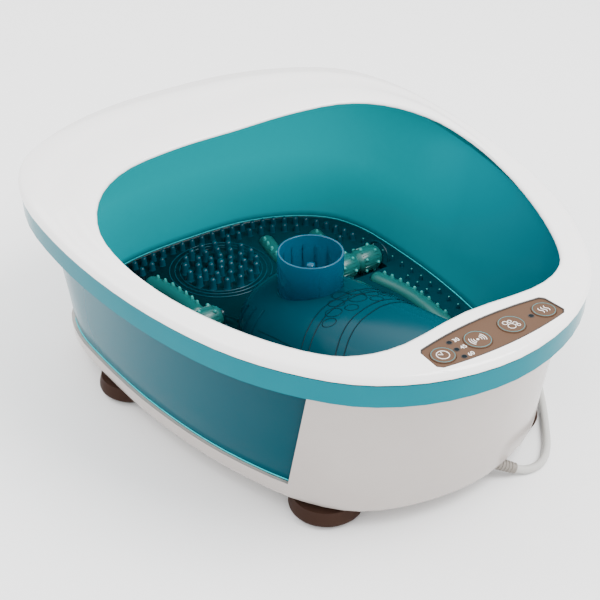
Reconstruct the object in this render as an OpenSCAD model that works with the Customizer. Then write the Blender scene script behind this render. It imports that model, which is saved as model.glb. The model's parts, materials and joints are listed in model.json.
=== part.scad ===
// Foot spa basin: a water tub on a white base, with massage rollers, bubble strips and a control panel.
// Millimetres. X runs across, Y runs from the control panel (-Y) to the heels (+Y), Z is up.
// The origin is the middle of the footprint, on the surface that the feet stand on.

/* [Body] */
// Width of the top rim
rim_w = 350; // [300:5:400]
// Length of the top rim, from the control panel to the heel end
rim_l = 422; // [380:2:480]
// Height of the rim's lower edge at the control panel
rim_front_z = 138; // [125:1:160]
// Height of the rim's lower edge at the heel end
rim_back_z = 157; // [140:1:180]
// Width of the base, where it is widest
base_w = 286; // [250:2:320]
// Length of the base
base_l = 376; // [340:2:420]
// Thickness of the moulded walls of the base
base_wall = 2.6; // [2:0.1:3.5]

/* [Opening] */
// Width of the opening in the top rim
opening_w = 306; // [260:2:320]
// Length of the opening in the top rim
opening_l = 266; // [230:2:280]
// Height of the opening's edge at the control panel
opening_front_z = 146; // [140:1:170]
// Height that the opening's edge rises towards the heel end
opening_rise = 25; // [10:1:30]

/* [Tub] */
// Height of the tub's floor above the table
floor_z = 29; // [27:0.5:34]
// Thickness of the tub's walls and floor
tub_wall = 2.8; // [2:0.1:4]
// Height of the coloured band under the rim
band_h = 16; // [10:1:22]
// How far the band stands out from the wall under it
band_out = 10; // [7:0.5:14]

/* [Arch] */
// Width of the arch between the feet
arch_w = 124; // [110:2:130]
// Height of the arch's crown at the cup
arch_crown_z = 79; // [72:1:90]
// Height that the crown gains for each millimetre towards the control panel
arch_slope = 0.2; // [0.1:0.02:0.24]
// Outer diameter of the cup on the arch
cup_d = 49.6; // [44:0.4:54]
// Height of the cup's lip
cup_z = 109; // [100:1:116]
// Thickness of the cup's wall
cup_wall = 2; // [1.6:0.1:3]

/* [Rollers] */
// Diameter of a roller's barrels
barrel_d = 21; // [18:0.5:22]
// Length of one barrel
barrel_l = 24; // [20:0.5:25]
// Height of the nubs on a roller
roller_nub_h = 1.8; // [1:0.1:2]
// Diameter of a roller's axle
axle_d = 4; // [3:0.5:5]
// Clearance around an axle, on the radius
axle_gap = 0.05; // [0.02:0.01:0.1]

/* [Floor] */
// Height of the light green bubble strips
strip_h = 5; // [3:0.5:7]
// Width of the bubble strips
strip_w = 14; // [10:0.5:15]
// Height of the tall nubs in the middle cluster
nub_h = 10; // [6:0.5:14]
// Height of the small nubs along the floor's edge
edge_nub_h = 5; // [3:0.5:7]

/* [Controls] */
// Half the width of the control panel
panel_half_w = 52; // [50:0.5:58]
// Length of the panel, front to back, at its middle
panel_l = 31; // [28:0.5:33]
// Diameter of the two middle buttons
button_d = 18; // [14:0.5:19]
// Diameter of the two outer buttons
small_button_d = 16; // [12:0.5:17]
// Travel of a button
button_travel = 0.6; // [0.4:0.1:0.8]

/* [Feet] */
// Height of the feet under the base
foot_h = 14; // [12:0.5:18]
// Diameter of a foot, where it is widest
foot_d = 52; // [40:1:56]
// Thickness of the soft pad under a foot
pad_t = 2; // [1:0.5:4]

/* [Cord] */
// Diameter of the mains cord
cord_d = 6; // [5:0.5:7]

/* [Hidden] */

// Colours of the materials
white_gloss = "white";
teal = [0.02, 0.55, 0.60, 0.75];
blue_teal = [0.04, 0.47, 0.62, 0.75];
pale_green = [0.35, 0.78, 0.68, 0.85];
taupe = [0.60, 0.49, 0.42];

// Points around every lofted outline
ring_n = 76;
// Point on the outline where the high front wall begins, counted from the heel end
front_wall_i = 29;

// Outlines as shares of half the width and half the length, from the heel end round to the panel
rim_shape = [[0, 1], [0.34, 0.98], [0.64, 0.9], [0.857, 0.77], [0.97, 0.56], [1, 0.3], [0.985, 0.02],
    [0.93, -0.25], [0.834, -0.5], [0.697, -0.7], [0.526, -0.855], [0.286, -0.96], [0, -1]];
base_shape = [[0, 1], [0.4, 0.98], [0.7, 0.89], [0.9, 0.755], [0.985, 0.58], [1, 0.36], [0.985, 0.05],
    [0.93, -0.255], [0.85, -0.49], [0.74, -0.7], [0.57, -0.865], [0.32, -0.96], [0, -1]];
opening_shape = [[0, 1], [0.33, 1], [0.64, 0.95], [0.85, 0.8], [0.975, 0.55], [1, 0.26], [0.967, -0.03],
    [0.9, -0.3], [0.8, -0.575], [0.68, -0.81], [0.56, -0.94], [0.36, -1], [0, -0.965]];
arch_shape = [[0, 1], [0.42, 0.93], [0.72, 0.78], [0.88, 0.5], [0.95, 0.2], [0.98, -0.15], [1, -0.5],
    [1, -1], [0.5, -1.6], [0, -1.7]];

// How far the panel's middle and the opening's front edge stand from the rim's front end
panel_in = 24.5;
opening_in = 46.5;
base_mid_y = 5.5;
opening_mid_y = -rim_l / 2 + opening_in + opening_l / 2;
panel_y = -rim_l / 2 + panel_in;
base_bottom_z = foot_h;
strip_top_z = 30;
wall_gap = 0.4;
rim_edge_h = 7;
rim_t = 2.4;
lip_h = 3.2;
seal_h = 1.2;
floor_under_z = floor_z - tub_wall;
base_floor_z = base_bottom_z + base_wall;

// A point of a closed curve through the points p, at t points from the first
function curve_pt(p, t) =
    let (n = len(p), k = floor(t), f = t - k,
        a = p[(k + n - 1) % n], b = p[k % n], c = p[(k + 1) % n], d = p[(k + 2) % n])
    0.5 * (2 * b + (c - a) * f + (2 * a - 5 * b + 4 * c - d) * f * f + (3 * b - a - 3 * c + d) * f * f * f);
function mirrored(half) = concat(half, [for (i = [len(half) - 2:-1:1]) [-half[i][0], half[i][1]]]);
function outline(half, w, l, mid_y) =
    let (p = mirrored(half))
    [for (i = [0:ring_n - 1]) let (q = curve_pt(p, i * len(p) / ring_n)) [w / 2 * q[0], mid_y + l / 2 * q[1]]];
function inset(p, d) =
    [for (i = [0:len(p) - 1])
        let (n = len(p), e = p[(i + 1) % n] - p[(i + n - 1) % n], u = e / norm(e)) p[i] + d * [u[1], -u[0]]];
function between(p, q, t) = [for (i = [0:len(p) - 1]) p[i] * (1 - t) + q[i] * t];
function soft_max(a, b, r) = (a + b + sqrt((a - b) * (a - b) + r * r)) / 2;
function smooth(t) = let (u = min(1, max(0, t))) u * u * (3 - 2 * u);

rim_line = outline(rim_shape, rim_w, rim_l, 0);
opening_line = outline(opening_shape, opening_w, opening_l, opening_mid_y);
base_line = outline(base_shape, base_w, base_l, base_mid_y);
wall_top_line = inset(rim_line, band_out);

// Heights of the rim's lower edge and of the opening's edge, which both rise towards the heel end
function rim_z(y) = rim_front_z + (rim_back_z - rim_front_z) * pow(max(0, y / rim_l + 0.5), 1.2);
function opening_z(y) =
    opening_front_z + opening_rise * pow(max(0, (y - opening_mid_y) / opening_l + 0.5), 2);

// The body's outer surface: point i of the outline at height z, flaring out towards the rim
function flare(i, z) = pow(min(1, max(0, (z - base_bottom_z) / (rim_z(rim_line[i][1]) - base_bottom_z))), 1.3);
function body_pt(i, z) = base_line[i] * (1 - flare(i, z)) + wall_top_line[i] * flare(i, z);
function body_ring(zs, d) =
    let (p = inset([for (i = [0:ring_n - 1]) body_pt(i, zs[i])], d))
    [for (i = [0:ring_n - 1]) [p[i][0], p[i][1], zs[i]]];
function level(z) = [for (i = [0:ring_n - 1]) z];
function lift(p, z) = [for (q = p) [q[0], q[1], z]];

// The tub's wall: the body's surface, but straight across the front, behind the electronics
tub_front_top_y = panel_y + 18.5;
tub_front_bottom_y = base_mid_y - base_l / 2 + 32.5;
tub_in = base_wall + wall_gap;
band_in = 0.8;
function tub_front_y(z) = tub_front_bottom_y
    + (tub_front_top_y - tub_front_bottom_y) * (z - floor_z) / (rim_front_z - floor_z);
function tub_ring(zs, d) =
    let (p = body_ring(zs, tub_in + d))
    [for (q = p) [q[0], soft_max(q[1], tub_front_y(q[2]) + d, 8), q[2]]];
function rim_level(dz) = [for (q = rim_line) rim_z(q[1]) + dz];

// Faces of a stack of rings. Each ring has as many points as the first.
function ladder(a, n, up) =
    [for (j = [0:n / 2 - 1], f = [[j, j + 1, n - j - 1], [j, n - j - 1, n - j]])
        if (f[0] != f[2] % n && f[1] != f[2])
            up ? [a + f[0], a + f[1], a + f[2] % n] : [a + f[1], a + f[0], a + f[2] % n]];
module loft(rings, closed = false) {
    n = len(rings[0]);
    m = len(rings);
    sides = [for (k = [0:closed ? m - 1 : m - 2], i = [0:n - 1])
        let (a = k * n + i, b = k * n + (i + 1) % n, c = ((k + 1) % m) * n + (i + 1) % n, d = ((k + 1) % m) * n + i)
        each [[a, b, c], [a, c, d]]];
    caps = closed ? [] : concat(ladder(0, n, false), ladder((m - 1) * n, n, true));
    polyhedron([for (r = rings) each r], concat(sides, caps));
}

// Arch: the cross-section is a rounded box shape over a line along the middle
nose_y = 60;
arch_front_gap = 5.4;
arch_mid_y = -40;
arch_l = 2 * (nose_y - arch_mid_y);
arch_power = 0.75;
function crown_z(y) = arch_crown_z + arch_slope * (cup_y - y);
cup_y = 4;
nose_start_y = 22;
arch_front_y = tub_front_bottom_y - 10;
arch_front_slope = 0.1;
function arch_ring(a, d, front_d) =
    let (line = outline(arch_shape, arch_w, arch_l, arch_mid_y))
    [for (q = line)
        let (mid = q[1] < arch_front_y ? arch_front_y + (q[1] - arch_front_y) * arch_front_slope
                : min(q[1], nose_start_y),
            z = floor_z + (crown_z(mid) - d - floor_z) * pow(sin(a), arch_power),
            front = tub_front_y(z) + tub_wall + arch_front_gap + front_d,
            k = pow(cos(a), arch_power) * (arch_w / 2 - d) / (arch_w / 2),
            y = mid + (q[1] - mid) * k)
        [q[0] * k, max(y, front), z]];
arch_angles = [0, 10, 20, 30, 42, 54, 66, 76, 84];

// Motor bay: the tub's floor rises under the arch and leaves room for the pump and the motor
bay_in = 9;
bay_front_d = 12;
function bay_ring(a, d) = arch_ring(a, bay_in + d, bay_front_d + d);

base_top_gap = 6;
base_foot_h = 7;
base_tops = [for (i = [0:ring_n - 1])
    abs(i - ring_n / 2) <= ring_n / 2 - front_wall_i ? rim_z(rim_line[i][1]) - base_top_gap : strip_top_z];
function part_way(t) = [for (z = base_tops) let (low = base_bottom_z + base_foot_h) low + (z - low) * t];
function inner_way(t) = [for (z = base_tops) let (low = base_floor_z + base_wall) low + (z - low) * t];
module base_shell() color(white_gloss) difference() {
    loft([
        lift(inset(base_line, 8), base_bottom_z),
        lift(inset(base_line, 3), base_bottom_z + 0.9),
        lift(inset(base_line, 0.8), base_bottom_z + 3.5),
        body_ring(part_way(0), 0),
        body_ring(part_way(0.2), 0),
        body_ring(part_way(0.4), 0),
        body_ring(part_way(0.6), 0),
        body_ring(part_way(0.8), 0),
        body_ring(part_way(1), 0),
        body_ring(inner_way(1), base_wall),
        body_ring(inner_way(0.75), base_wall),
        body_ring(inner_way(0.5), base_wall),
        body_ring(inner_way(0.25), base_wall),
        body_ring(inner_way(0), base_wall),
        lift(inset(base_line, 6), base_floor_z)
    ]);
    for (p = screw_places) {
        translate([p[0], p[1], base_bottom_z - 1]) cylinder(r = screw_r, h = base_wall + 2, $fn = 32);
        translate([p[0], p[1], base_bottom_z - 1]) cylinder(r = screw_head_r, h = 1 + screw_head_h, $fn = 32);
    }
    for (k = [-2:2])
        translate([k * 12, pump_y, base_bottom_z + base_wall / 2])
            cube([5, 40, base_wall + 2], center = true);
    gland_place() cylinder(r = gland_r, h = gland_l * 2, center = true, $fn = 48);
}

module tub() color(teal) difference() {
    union() {
        loft(concat(
            [for (k = [len(arch_angles) - 1:-1:0]) bay_ring(arch_angles[k], tub_wall)],
            [
                lift(bay_ring(0, tub_wall), floor_under_z),
                tub_ring(level(floor_under_z), 3),
                tub_ring(level(floor_under_z + 2), 0.6),
                tub_ring(level(floor_z + 4), 0)
            ],
            [for (t = [0.25, 0.5, 0.75]) tub_ring([for (z = rim_level(-tub_wall)) floor_z + (z - floor_z) * t], 0)],
            [
                tub_ring(rim_level(-tub_wall), 0),
                edge_ring(rim_line, tub_wall + band_in, -tub_wall),
                edge_ring(rim_line, tub_wall + band_in, -band_h),
                edge_ring(rim_line, band_in + 0.4, -band_h),
                edge_ring(rim_line, band_in, 0),
                tub_ring(rim_level(0), tub_wall)
            ],
            [for (t = [0.75, 0.5, 0.25]) tub_ring([for (z = rim_level(0)) floor_z + (z - floor_z) * t], tub_wall)],
            [
                tub_ring(level(floor_z + 3.5), tub_wall + 0.8),
                tub_ring(level(floor_z + 1), tub_wall + 2),
                tub_ring(level(floor_z), tub_wall + 4)
            ],
            [for (a = arch_angles) bay_ring(a, 0)]
        ));
        for (p = screw_places)
            translate([p[0], p[1], base_floor_z]) cylinder(r = boss_r, h = floor_z - base_floor_z - 1, $fn = 32);
    }
    for (p = screw_places)
        translate([p[0], p[1], base_floor_z - 1]) cylinder(r = screw_r, h = screw_l - base_wall + 2, $fn = 32);
    for (k = [0:3]) roller_place(k) pocket(k, 0);
    translate([0, button_y, rim_front_z]) cube([board_w + 4, board_l + 4, 30], center = true);
}

// The rim is hollow underneath, with a rolled outer edge and a lip around the opening
function rim_ring(t, dz) =
    let (p = between(inset(rim_line, 3), inset(opening_line, -3), t))
    [for (i = [0:ring_n - 1])
        let (z0 = rim_z(rim_line[i][1]) + rim_edge_h, z1 = opening_z(opening_line[i][1]) - 0.4,
            width = norm(rim_line[i] - opening_line[i]),
            step = 1.6 * smooth((width - 45) / 40) * smooth((t - 0.62) / 0.1) * (1 - smooth((t - 0.8) / 0.2)))
        [p[i][0], p[i][1], z0 + (z1 - z0) * t + step + dz]];
function edge_ring(line, d, dz) =
    let (p = inset(line, d)) [for (i = [0:ring_n - 1]) [p[i][0], p[i][1], rim_z(rim_line[i][1]) + dz]];
function lip_ring(d, dz) =
    let (p = inset(opening_line, d))
    [for (i = [0:ring_n - 1]) [p[i][0], p[i][1], opening_z(opening_line[i][1]) + dz]];
module top_rim() color(white_gloss) difference() {
    loft([
        edge_ring(rim_line, 0, seal_h),
        edge_ring(rim_line, -0.3, 3),
        edge_ring(rim_line, 0.8, rim_edge_h - 1.6),
        rim_ring(0, 0),
        rim_ring(0.3, 0),
        rim_ring(0.62, 0),
        rim_ring(0.72, 0),
        rim_ring(0.9, 0),
        rim_ring(1, 0),
        lip_ring(-0.8, -0.8),
        lip_ring(0, -2.4),
        lip_ring(0, -lip_h),
        lip_ring(-rim_t, -lip_h),
        lip_ring(-rim_t - 0.6, -rim_t - 0.6),
        rim_ring(0.9, -rim_t),
        rim_ring(0.72, -rim_t),
        rim_ring(0.62, -rim_t),
        rim_ring(0.3, -rim_t),
        rim_ring(0.04, -rim_t),
        edge_ring(rim_line, rim_t, seal_h)
    ], closed = true);
    translate([0, 0, panel_z - panel_t]) linear_extrude(30) panel_outline(0);
    translate([0, 0, panel_z - 30]) linear_extrude(30) panel_outline(-2);
}

module rim_seal() color("dimgray") loft([
    edge_ring(rim_line, 1.4, 0),
    edge_ring(rim_line, 1.4, seal_h),
    edge_ring(rim_line, rim_t - 0.1, seal_h),
    edge_ring(rim_line, rim_t - 0.1, 0)
], closed = true);

arch_t = 2.5;
module arch_cover() color(blue_teal) difference() {
    loft(concat(
        [for (k = [len(arch_angles) - 1:-1:0]) arch_ring(arch_angles[k], arch_t, arch_t)],
        [for (a = arch_angles) arch_ring(a, 0, 0)]
    ));
    translate([0, cup_y, floor_z]) cylinder(r = cup_d / 2, h = cup_z, $fn = 96);
}

// Cup: holds the pumice and brush heads on its post
cup_under = 0.3;
cup_bottom_z = crown_z(cup_y - cup_d / 2) - bay_in + cup_under;
cup_floor_t = 3;
post_r = 3.5;
module tool_cup() color(blue_teal) translate([0, cup_y, cup_bottom_z]) {
    difference() {
        cylinder(r = cup_d / 2, h = cup_z - cup_bottom_z, $fn = 96);
        translate([0, 0, cup_floor_t]) cylinder(r = cup_d / 2 - cup_wall, h = cup_z, $fn = 96);
    }
    cylinder(r = post_r, h = cup_floor_t + 20, $fn = 48);
}

// Control panel: a plate in a window of the rim, with its long edges bowed
panel_z = 144.6;
panel_t = 2;
panel_fit = 0.2;
panel_bow = 4.5;
module panel_outline(d) {
    half_l = panel_l / 2 - d;
    half_w = panel_half_w - d;
    bow = [for (x = [-1:0.125:1]) [x * (half_w - 2.5), half_l - panel_bow * x * x]];
    translate([0, panel_y]) polygon(concat(
        bow,
        [[half_w, half_l - panel_bow - 3], [half_w + 1, -half_l + panel_bow + 3]],
        [for (k = [len(bow) - 1:-1:0]) [bow[k][0] * 1.01, -bow[k][1]]],
        [[-half_w - 1, -half_l + panel_bow + 3], [-half_w, half_l - panel_bow - 3]]
    ));
}

// Buttons: place along X, and diameter
button_y = panel_y - 1;
buttons = [[-42, small_button_d], [-14, button_d], [14, button_d], [42, small_button_d]];
button_gap = 0.25;
button_above = 0.8;
leds = [[-30, 8], [-31, 0], [-32, -8], [31, 0]];
led_r = 1.5;
board_z = panel_z - 12;
board_w = 96;
board_l = 20;
board_post_x = 26;
module control_panel() color(taupe) difference() {
    translate([0, 0, panel_z - panel_t]) linear_extrude(panel_t) panel_outline(panel_fit);
    for (b = buttons)
        translate([b[0], button_y, panel_z - panel_t - 1])
            cylinder(r = b[1] / 2 + button_gap, h = panel_t + 2, $fn = 64);
    for (p = leds)
        translate([p[0], button_y + p[1], panel_z - panel_t - 1]) cylinder(r = led_r, h = panel_t + 2, $fn = 24);
}
module panel_button(k) color(taupe) translate([buttons[k][0], button_y, 0]) {
    translate([0, 0, panel_z - panel_t]) cylinder(r = buttons[k][1] / 2, h = panel_t + button_above, $fn = 64);
    translate([0, 0, board_z + 1.6 + switch_h])
        cylinder(r = 3, h = panel_z - panel_t - board_z - 1.6 - switch_h, $fn = 32);
}
switch_h = 3.2;
module led(k) color([0.05, 0.2, 0.22]) translate([leds[k][0], button_y + leds[k][1], board_z + 1.6])
    cylinder(r = led_r, h = panel_z + 0.3 - board_z - 1.6, $fn = 24);
module circuit_board() color("green") {
    translate([-board_w / 2, button_y - board_l / 2, board_z]) cube([board_w, board_l, 1.6]);
    for (b = buttons)
        translate([b[0] - 3, button_y - 3, board_z]) cube([6, 6, 1.6 + switch_h - button_travel - 0.1]);
    for (x = [-board_post_x, board_post_x])
        translate([x, button_y, board_z]) cylinder(r = 2, h = panel_z - panel_t - board_z, $fn = 32);
}

// Rollers: row along Y, first end along X and number of barrels, then the side of each
roller_axis_z = floor_z + 6;
roller_rows = [[66, 43, 3], [-62, 67, 2]];
roller_end = 2.6;
pocket_gap = 2.3;
pocket_under = 0.9;
roller_r = barrel_d / 2 + roller_nub_h;
pocket_half_w = roller_r + pocket_gap;
pocket_bottom_z = roller_axis_z - roller_r - pocket_under;
tray_t = 1.5;
bracket_r = 5;
function roller_row(k) = roller_rows[floor(k / 2)];
function roller_len(k) = roller_row(k)[2] * barrel_l;
module roller_place(k) {
    side = k % 2 == 0 ? -1 : 1;
    translate([side * (roller_row(k)[1] + roller_len(k) / 2), roller_row(k)[0], 0]) children();
}
module pocket(k, d) {
    half_l = roller_len(k) / 2 + roller_end - d;
    w = pocket_half_w - d;
    translate([-half_l, -w, pocket_bottom_z + d]) cube([2 * half_l, 2 * w, 40]);
}
module lying(h) { rotate([0, 90, 0]) cylinder(r = axle_d / 2, h = h, center = true, $fn = 48); }
module roller(k) color(pale_green) roller_place(k) translate([0, 0, roller_axis_z]) rotate([0, 90, 0]) {
    l = roller_len(k) - 1.6;
    count = roller_row(k)[2];
    groove = 2.2;
    bore = axle_d / 2 + axle_gap;
    rotate_extrude($fn = 64) polygon(concat(
        [[bore, l / 2], [bore, -l / 2]],
        [for (j = [0:count - 1], s = [0:0.125:1])
            [barrel_d / 2 - groove * pow(abs(2 * s - 1), 2.5), -l / 2 + (j + s) * l / count]]
    ));
    for (j = [0:count - 1], side = [-1, 1], a = [0:60:300])
        translate([0, 0, -l / 2 + (j + 0.5) * l / count + side * l / count * 0.22])
            rotate([0, 90, a + 30 * (side + 1) / 2])
                translate([0, 0, barrel_d / 2 - 1.4])
                    cylinder(r1 = 1.8, r2 = 1.1, h = roller_nub_h + 1.4, $fn = 16);
}
module axle(k) color("silver") roller_place(k) translate([0, 0, roller_axis_z])
    lying(roller_len(k) + 2 * roller_end);
module tray(k) color([0.0, 0.3, 0.34]) roller_place(k) {
    half_l = roller_len(k) / 2 + roller_end;
    difference() {
        union() {
            translate([-half_l, -pocket_half_w, pocket_bottom_z])
                cube([2 * half_l, 2 * pocket_half_w, floor_z - pocket_bottom_z]);
            for (side = [-1, 1]) translate([side * (half_l - tray_t / 2), 0, 0]) {
                translate([0, 0, roller_axis_z])
                    rotate([0, 90, 0]) cylinder(r = bracket_r, h = tray_t, center = true, $fn = 48);
                translate([-tray_t / 2, -bracket_r, pocket_bottom_z])
                    cube([tray_t, 2 * bracket_r, roller_axis_z - pocket_bottom_z]);
            }
        }
        translate([-half_l + tray_t, -pocket_half_w + tray_t, pocket_bottom_z + tray_t / 2])
            cube([2 * (half_l - tray_t), 2 * (pocket_half_w - tray_t), 40]);
        translate([0, 0, roller_axis_z]) lying(3 * half_l);
    }
}

// Bubble strips: their middle lines on the right-hand side
strip_lines = [
    [[57, 146], [52.5, 128], [50, 108], [50, 90]],
    [[98, 130], [94, 117], [91, 104], [90, 91]],
    [[76, 42], [79, 22], [80, 0], [79, -38]],
    [[98, 43], [103, 20], [104, -6], [101, -38]]
];
strip_nub_step = 11;
function strip_pt(p, t) =
    let (n = len(p) - 1, k = min(n - 1, floor(t * n)), f = t * n - k) p[k] * (1 - f) + p[k + 1] * f;
module strip(k) {
    side = k % 2 == 0 ? -1 : 1;
    line = strip_lines[floor(k / 2)];
    half_w = strip_w / 2;
    length = norm(line[3] - line[0]);
    count = floor(length / strip_nub_step);
    color(pale_green) mirror([side < 0 ? 1 : 0, 0, 0]) {
        translate([0, 0, floor_z]) linear_extrude(strip_h) for (j = [0:2]) hull() {
            translate(line[j]) circle(r = half_w, $fn = 32);
            translate(line[j + 1]) circle(r = half_w, $fn = 32);
        }
        for (j = [0:count])
            let (q = strip_pt(line, j / count))
                translate([q[0], q[1], floor_z + strip_h - 0.5]) cylinder(r1 = 2.2, r2 = 1.3, h = 4, $fn = 16);
    }
}

// Nub cluster: rings of tall nubs, as count, radius
cluster_y = 131;
cluster_rings = [[1, 0], [6, 9.5], [11, 19.5], [16, 30]];
module nub(r, h) {
    rotate_extrude($fn = 20) polygon(concat(
        [[0, 0], [r * 1.25, 0], [r * 0.8, h - 1.5 * r]],
        [for (a = [-30:30:90]) [r * cos(a) * (a == 90 ? 0 : 1), h - r + r * sin(a)]]
    ));
}
module nub_cluster() color([0.0, 0.38, 0.43]) translate([0, cluster_y, floor_z]) {
    cylinder(r = cluster_rings[3][1] + 4, h = 0.8, $fn = 96);
    for (ring = cluster_rings, j = [0:ring[0] - 1])
        rotate([0, 0, 360 * j / ring[0]]) translate([ring[1], 0, 0]) nub(ring[0] == 1 ? 3.2 : 2.3, nub_h);
}

// Small nubs in rows along the floor's edge, at the heel end and the sides
edge_rows = [[13, 2], [24, 3]];
edge_first_i = 1;
edge_last_i = 27;
module edge_nubs() color([0.0, 0.38, 0.43]) for (row = edge_rows) {
    line = tub_ring(level(floor_z), tub_wall + row[0]);
    for (i = [edge_first_i:row[1]:edge_last_i], side = [-1, 1])
        if (clear_of_trays(line[i]))
            translate([side * line[i][0], line[i][1], floor_z]) nub(1.7, edge_nub_h);
}
function clear_of_trays(p) =
    min([for (k = [1, 3])
        let (x = abs(p[0] - roller_row(k)[1] - roller_len(k) / 2) - roller_len(k) / 2 - roller_end,
            y = abs(p[1] - roller_row(k)[0]) - pocket_half_w) max(x, y)]) > 2.6
    && min([for (line = strip_lines, t = [0:0.1:1]) norm(p - strip_pt(line, t))]) > strip_w / 2 + 3;

// Feet
foot_front_in = [62, 56.5];
foot_back_in = [22, 126.5];
foot_front = [base_w / 2 - foot_front_in[0], base_mid_y - base_l / 2 + foot_front_in[1]];
foot_back = [base_w / 2 - foot_back_in[0], base_mid_y + base_l / 2 - foot_back_in[1]];
foot_places = [for (p = [foot_front, foot_back], side = [-1, 1]) [side * p[0], p[1]]];
foot_taper = 2;
foot_edge_h = 3;
pad_in = 5;
module foot(k) color(taupe) translate([foot_places[k][0], foot_places[k][1], pad_t]) {
    cylinder(r1 = foot_d / 2 - foot_taper, r2 = foot_d / 2, h = foot_edge_h, $fn = 96);
    translate([0, 0, foot_edge_h])
        cylinder(r1 = foot_d / 2, r2 = foot_d / 2 - foot_taper, h = foot_h - pad_t - foot_edge_h, $fn = 96);
}
module foot_pads() color("dimgray") for (p = foot_places)
    translate([p[0], p[1], 0]) cylinder(r = foot_d / 2 - pad_in, h = pad_t, $fn = 96);

// Screws from below into the tub's bosses
screw_from_side = [[93, 162.5], [31, 116.5], [19, -0.5], [45, -95.5]];
screw_places = [for (p = screw_from_side, side = [-1, 1]) [side * (base_w / 2 - p[0]), base_mid_y + p[1]]];
screw_r = 1.5;
screw_head_r = 3.2;
screw_head_h = 1.3;
screw_l = 9;
boss_r = 4;
module base_screws() color("silver") for (p = screw_places) translate([p[0], p[1], base_bottom_z]) {
    cylinder(r = screw_head_r, h = screw_head_h, $fn = 32);
    cylinder(r = screw_r, h = screw_l, $fn = 32);
}

// Air pump: a flat blower under the arch
pump_y = -92;
pump_r = 32;
pump_h = 20;
pump_wall = 2;
pump_motor_r = 12;
pump_motor_h = 24;
pump_z = base_floor_z;
shaft_r = 1.5;
outlet_r = 4;
outlet_l = 14;
outlet_z = 5;
hose_wall = 1.2;
module pump_housing() color("gray") translate([0, pump_y, pump_z]) difference() {
    union() {
        cylinder(r = pump_r, h = pump_h, $fn = 96);
        translate([0, pump_r - 3, outlet_z]) rotate([-90, 0, 0]) cylinder(r = outlet_r, h = outlet_l, $fn = 48);
    }
    translate([0, 0, pump_wall]) cylinder(r = pump_r - pump_wall, h = pump_h - 2 * pump_wall, $fn = 96);
    translate([0, pump_r - 6, outlet_z])
        rotate([-90, 0, 0]) cylinder(r = outlet_r - hose_wall, h = outlet_l + 6, $fn = 48);
    translate([0, 0, -1]) cylinder(r = 9, h = pump_wall + 2, $fn = 48);
    translate([0, 0, pump_h - pump_wall - 1]) cylinder(r = shaft_r + 0.8, h = pump_wall + 2, $fn = 32);
}
module pump_motor() color("silver") translate([0, pump_y, pump_z + pump_h]) difference() {
    cylinder(r = pump_motor_r, h = pump_motor_h, $fn = 64);
    translate([0, 0, -1]) cylinder(r = shaft_r + axle_gap, h = 11, $fn = 32);
}
module pump_impeller() color("dimgray") translate([0, pump_y, pump_z]) {
    translate([0, 0, pump_wall + 1]) cylinder(r = 26, h = 1.6, $fn = 96);
    translate([0, 0, pump_wall + 1]) cylinder(r = 5, h = 12, $fn = 48);
    for (a = [0:30:330]) rotate([0, 0, a]) translate([9, -0.6, pump_wall + 1]) cube([15, 1.2, 11]);
    translate([0, 0, pump_wall + 1]) cylinder(r = shaft_r, h = pump_h + 6, $fn = 32);
}
// Air manifold: from the pump to the bubble strips, between the base and the tub's floor
manifold_y = -22;
riser_x = [80, 103];
module manifold_tubes(r) {
    start_y = pump_y + pump_r - 3 + outlet_l;
    end_x = riser_x[1] + outlet_r;
    translate([0, start_y, 0]) rotate([-90, 0, 0]) cylinder(r = r, h = manifold_y - start_y, $fn = 48);
    translate([-end_x, manifold_y, 0]) rotate([0, 90, 0]) cylinder(r = r, h = 2 * end_x, $fn = 48);
}
module air_manifold() color("whitesmoke") translate([0, 0, pump_z + outlet_z]) difference() {
    union() {
        manifold_tubes(outlet_r);
        for (x = riser_x, side = [-1, 1]) translate([side * x, manifold_y, 0])
            cylinder(r = outlet_r - 0.6, h = floor_under_z - pump_z - outlet_z, $fn = 48);
    }
    manifold_tubes(outlet_r - hose_wall);
    for (x = riser_x, side = [-1, 1]) translate([side * x, manifold_y, 0])
        cylinder(r = outlet_r - 0.6 - hose_wall, h = floor_z, $fn = 48);
}

// Vibration motor, with a weight off its centre on the shaft, which runs along Y
motor_y = 8;
motor_r = 13;
motor_l = 30;
motor_z = base_floor_z + motor_r + 3;
weight_r = 10;
weight_t = 7;
module motor_place(y) { translate([0, y, motor_z]) rotate([-90, 0, 0]) children(); }
module vibration_motor() color("silver") motor_place(motor_y - motor_l / 2) difference() {
    cylinder(r = motor_r, h = motor_l, $fn = 64);
    translate([0, 0, motor_l - 10]) cylinder(r = shaft_r + axle_gap, h = 11, $fn = 32);
}
module motor_clamp() color("gray") difference() {
    translate([-motor_r - 4, motor_y - 8, base_floor_z]) cube([2 * motor_r + 8, 16, motor_r + 3]);
    motor_place(motor_y - motor_l) cylinder(r = motor_r, h = 2 * motor_l, $fn = 64);
}
module eccentric_weight() color("goldenrod") motor_place(motor_y + motor_l / 2) {
    translate([0, 0, -9]) cylinder(r = shaft_r, h = 9 + 2 + weight_t, $fn = 32);
    translate([0, 0, 2]) difference() {
        cylinder(r = weight_r, h = weight_t, $fn = 64);
        translate([-weight_r, -2 * weight_r - 2.5, -1]) cube([2 * weight_r, 2 * weight_r, weight_t + 2]);
    }
}

// Heater under the tub's floor, with the cut-out that protects it
heater_t = 2.5;
module heater_plate() color("silver")
    translate([-38, 90, floor_under_z - heater_t]) cube([76, 66, heater_t]);
module thermal_cutout() color("black")
    translate([0, 120, floor_under_z - heater_t - 4]) cylinder(r = 8, h = 4, $fn = 48);

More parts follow.
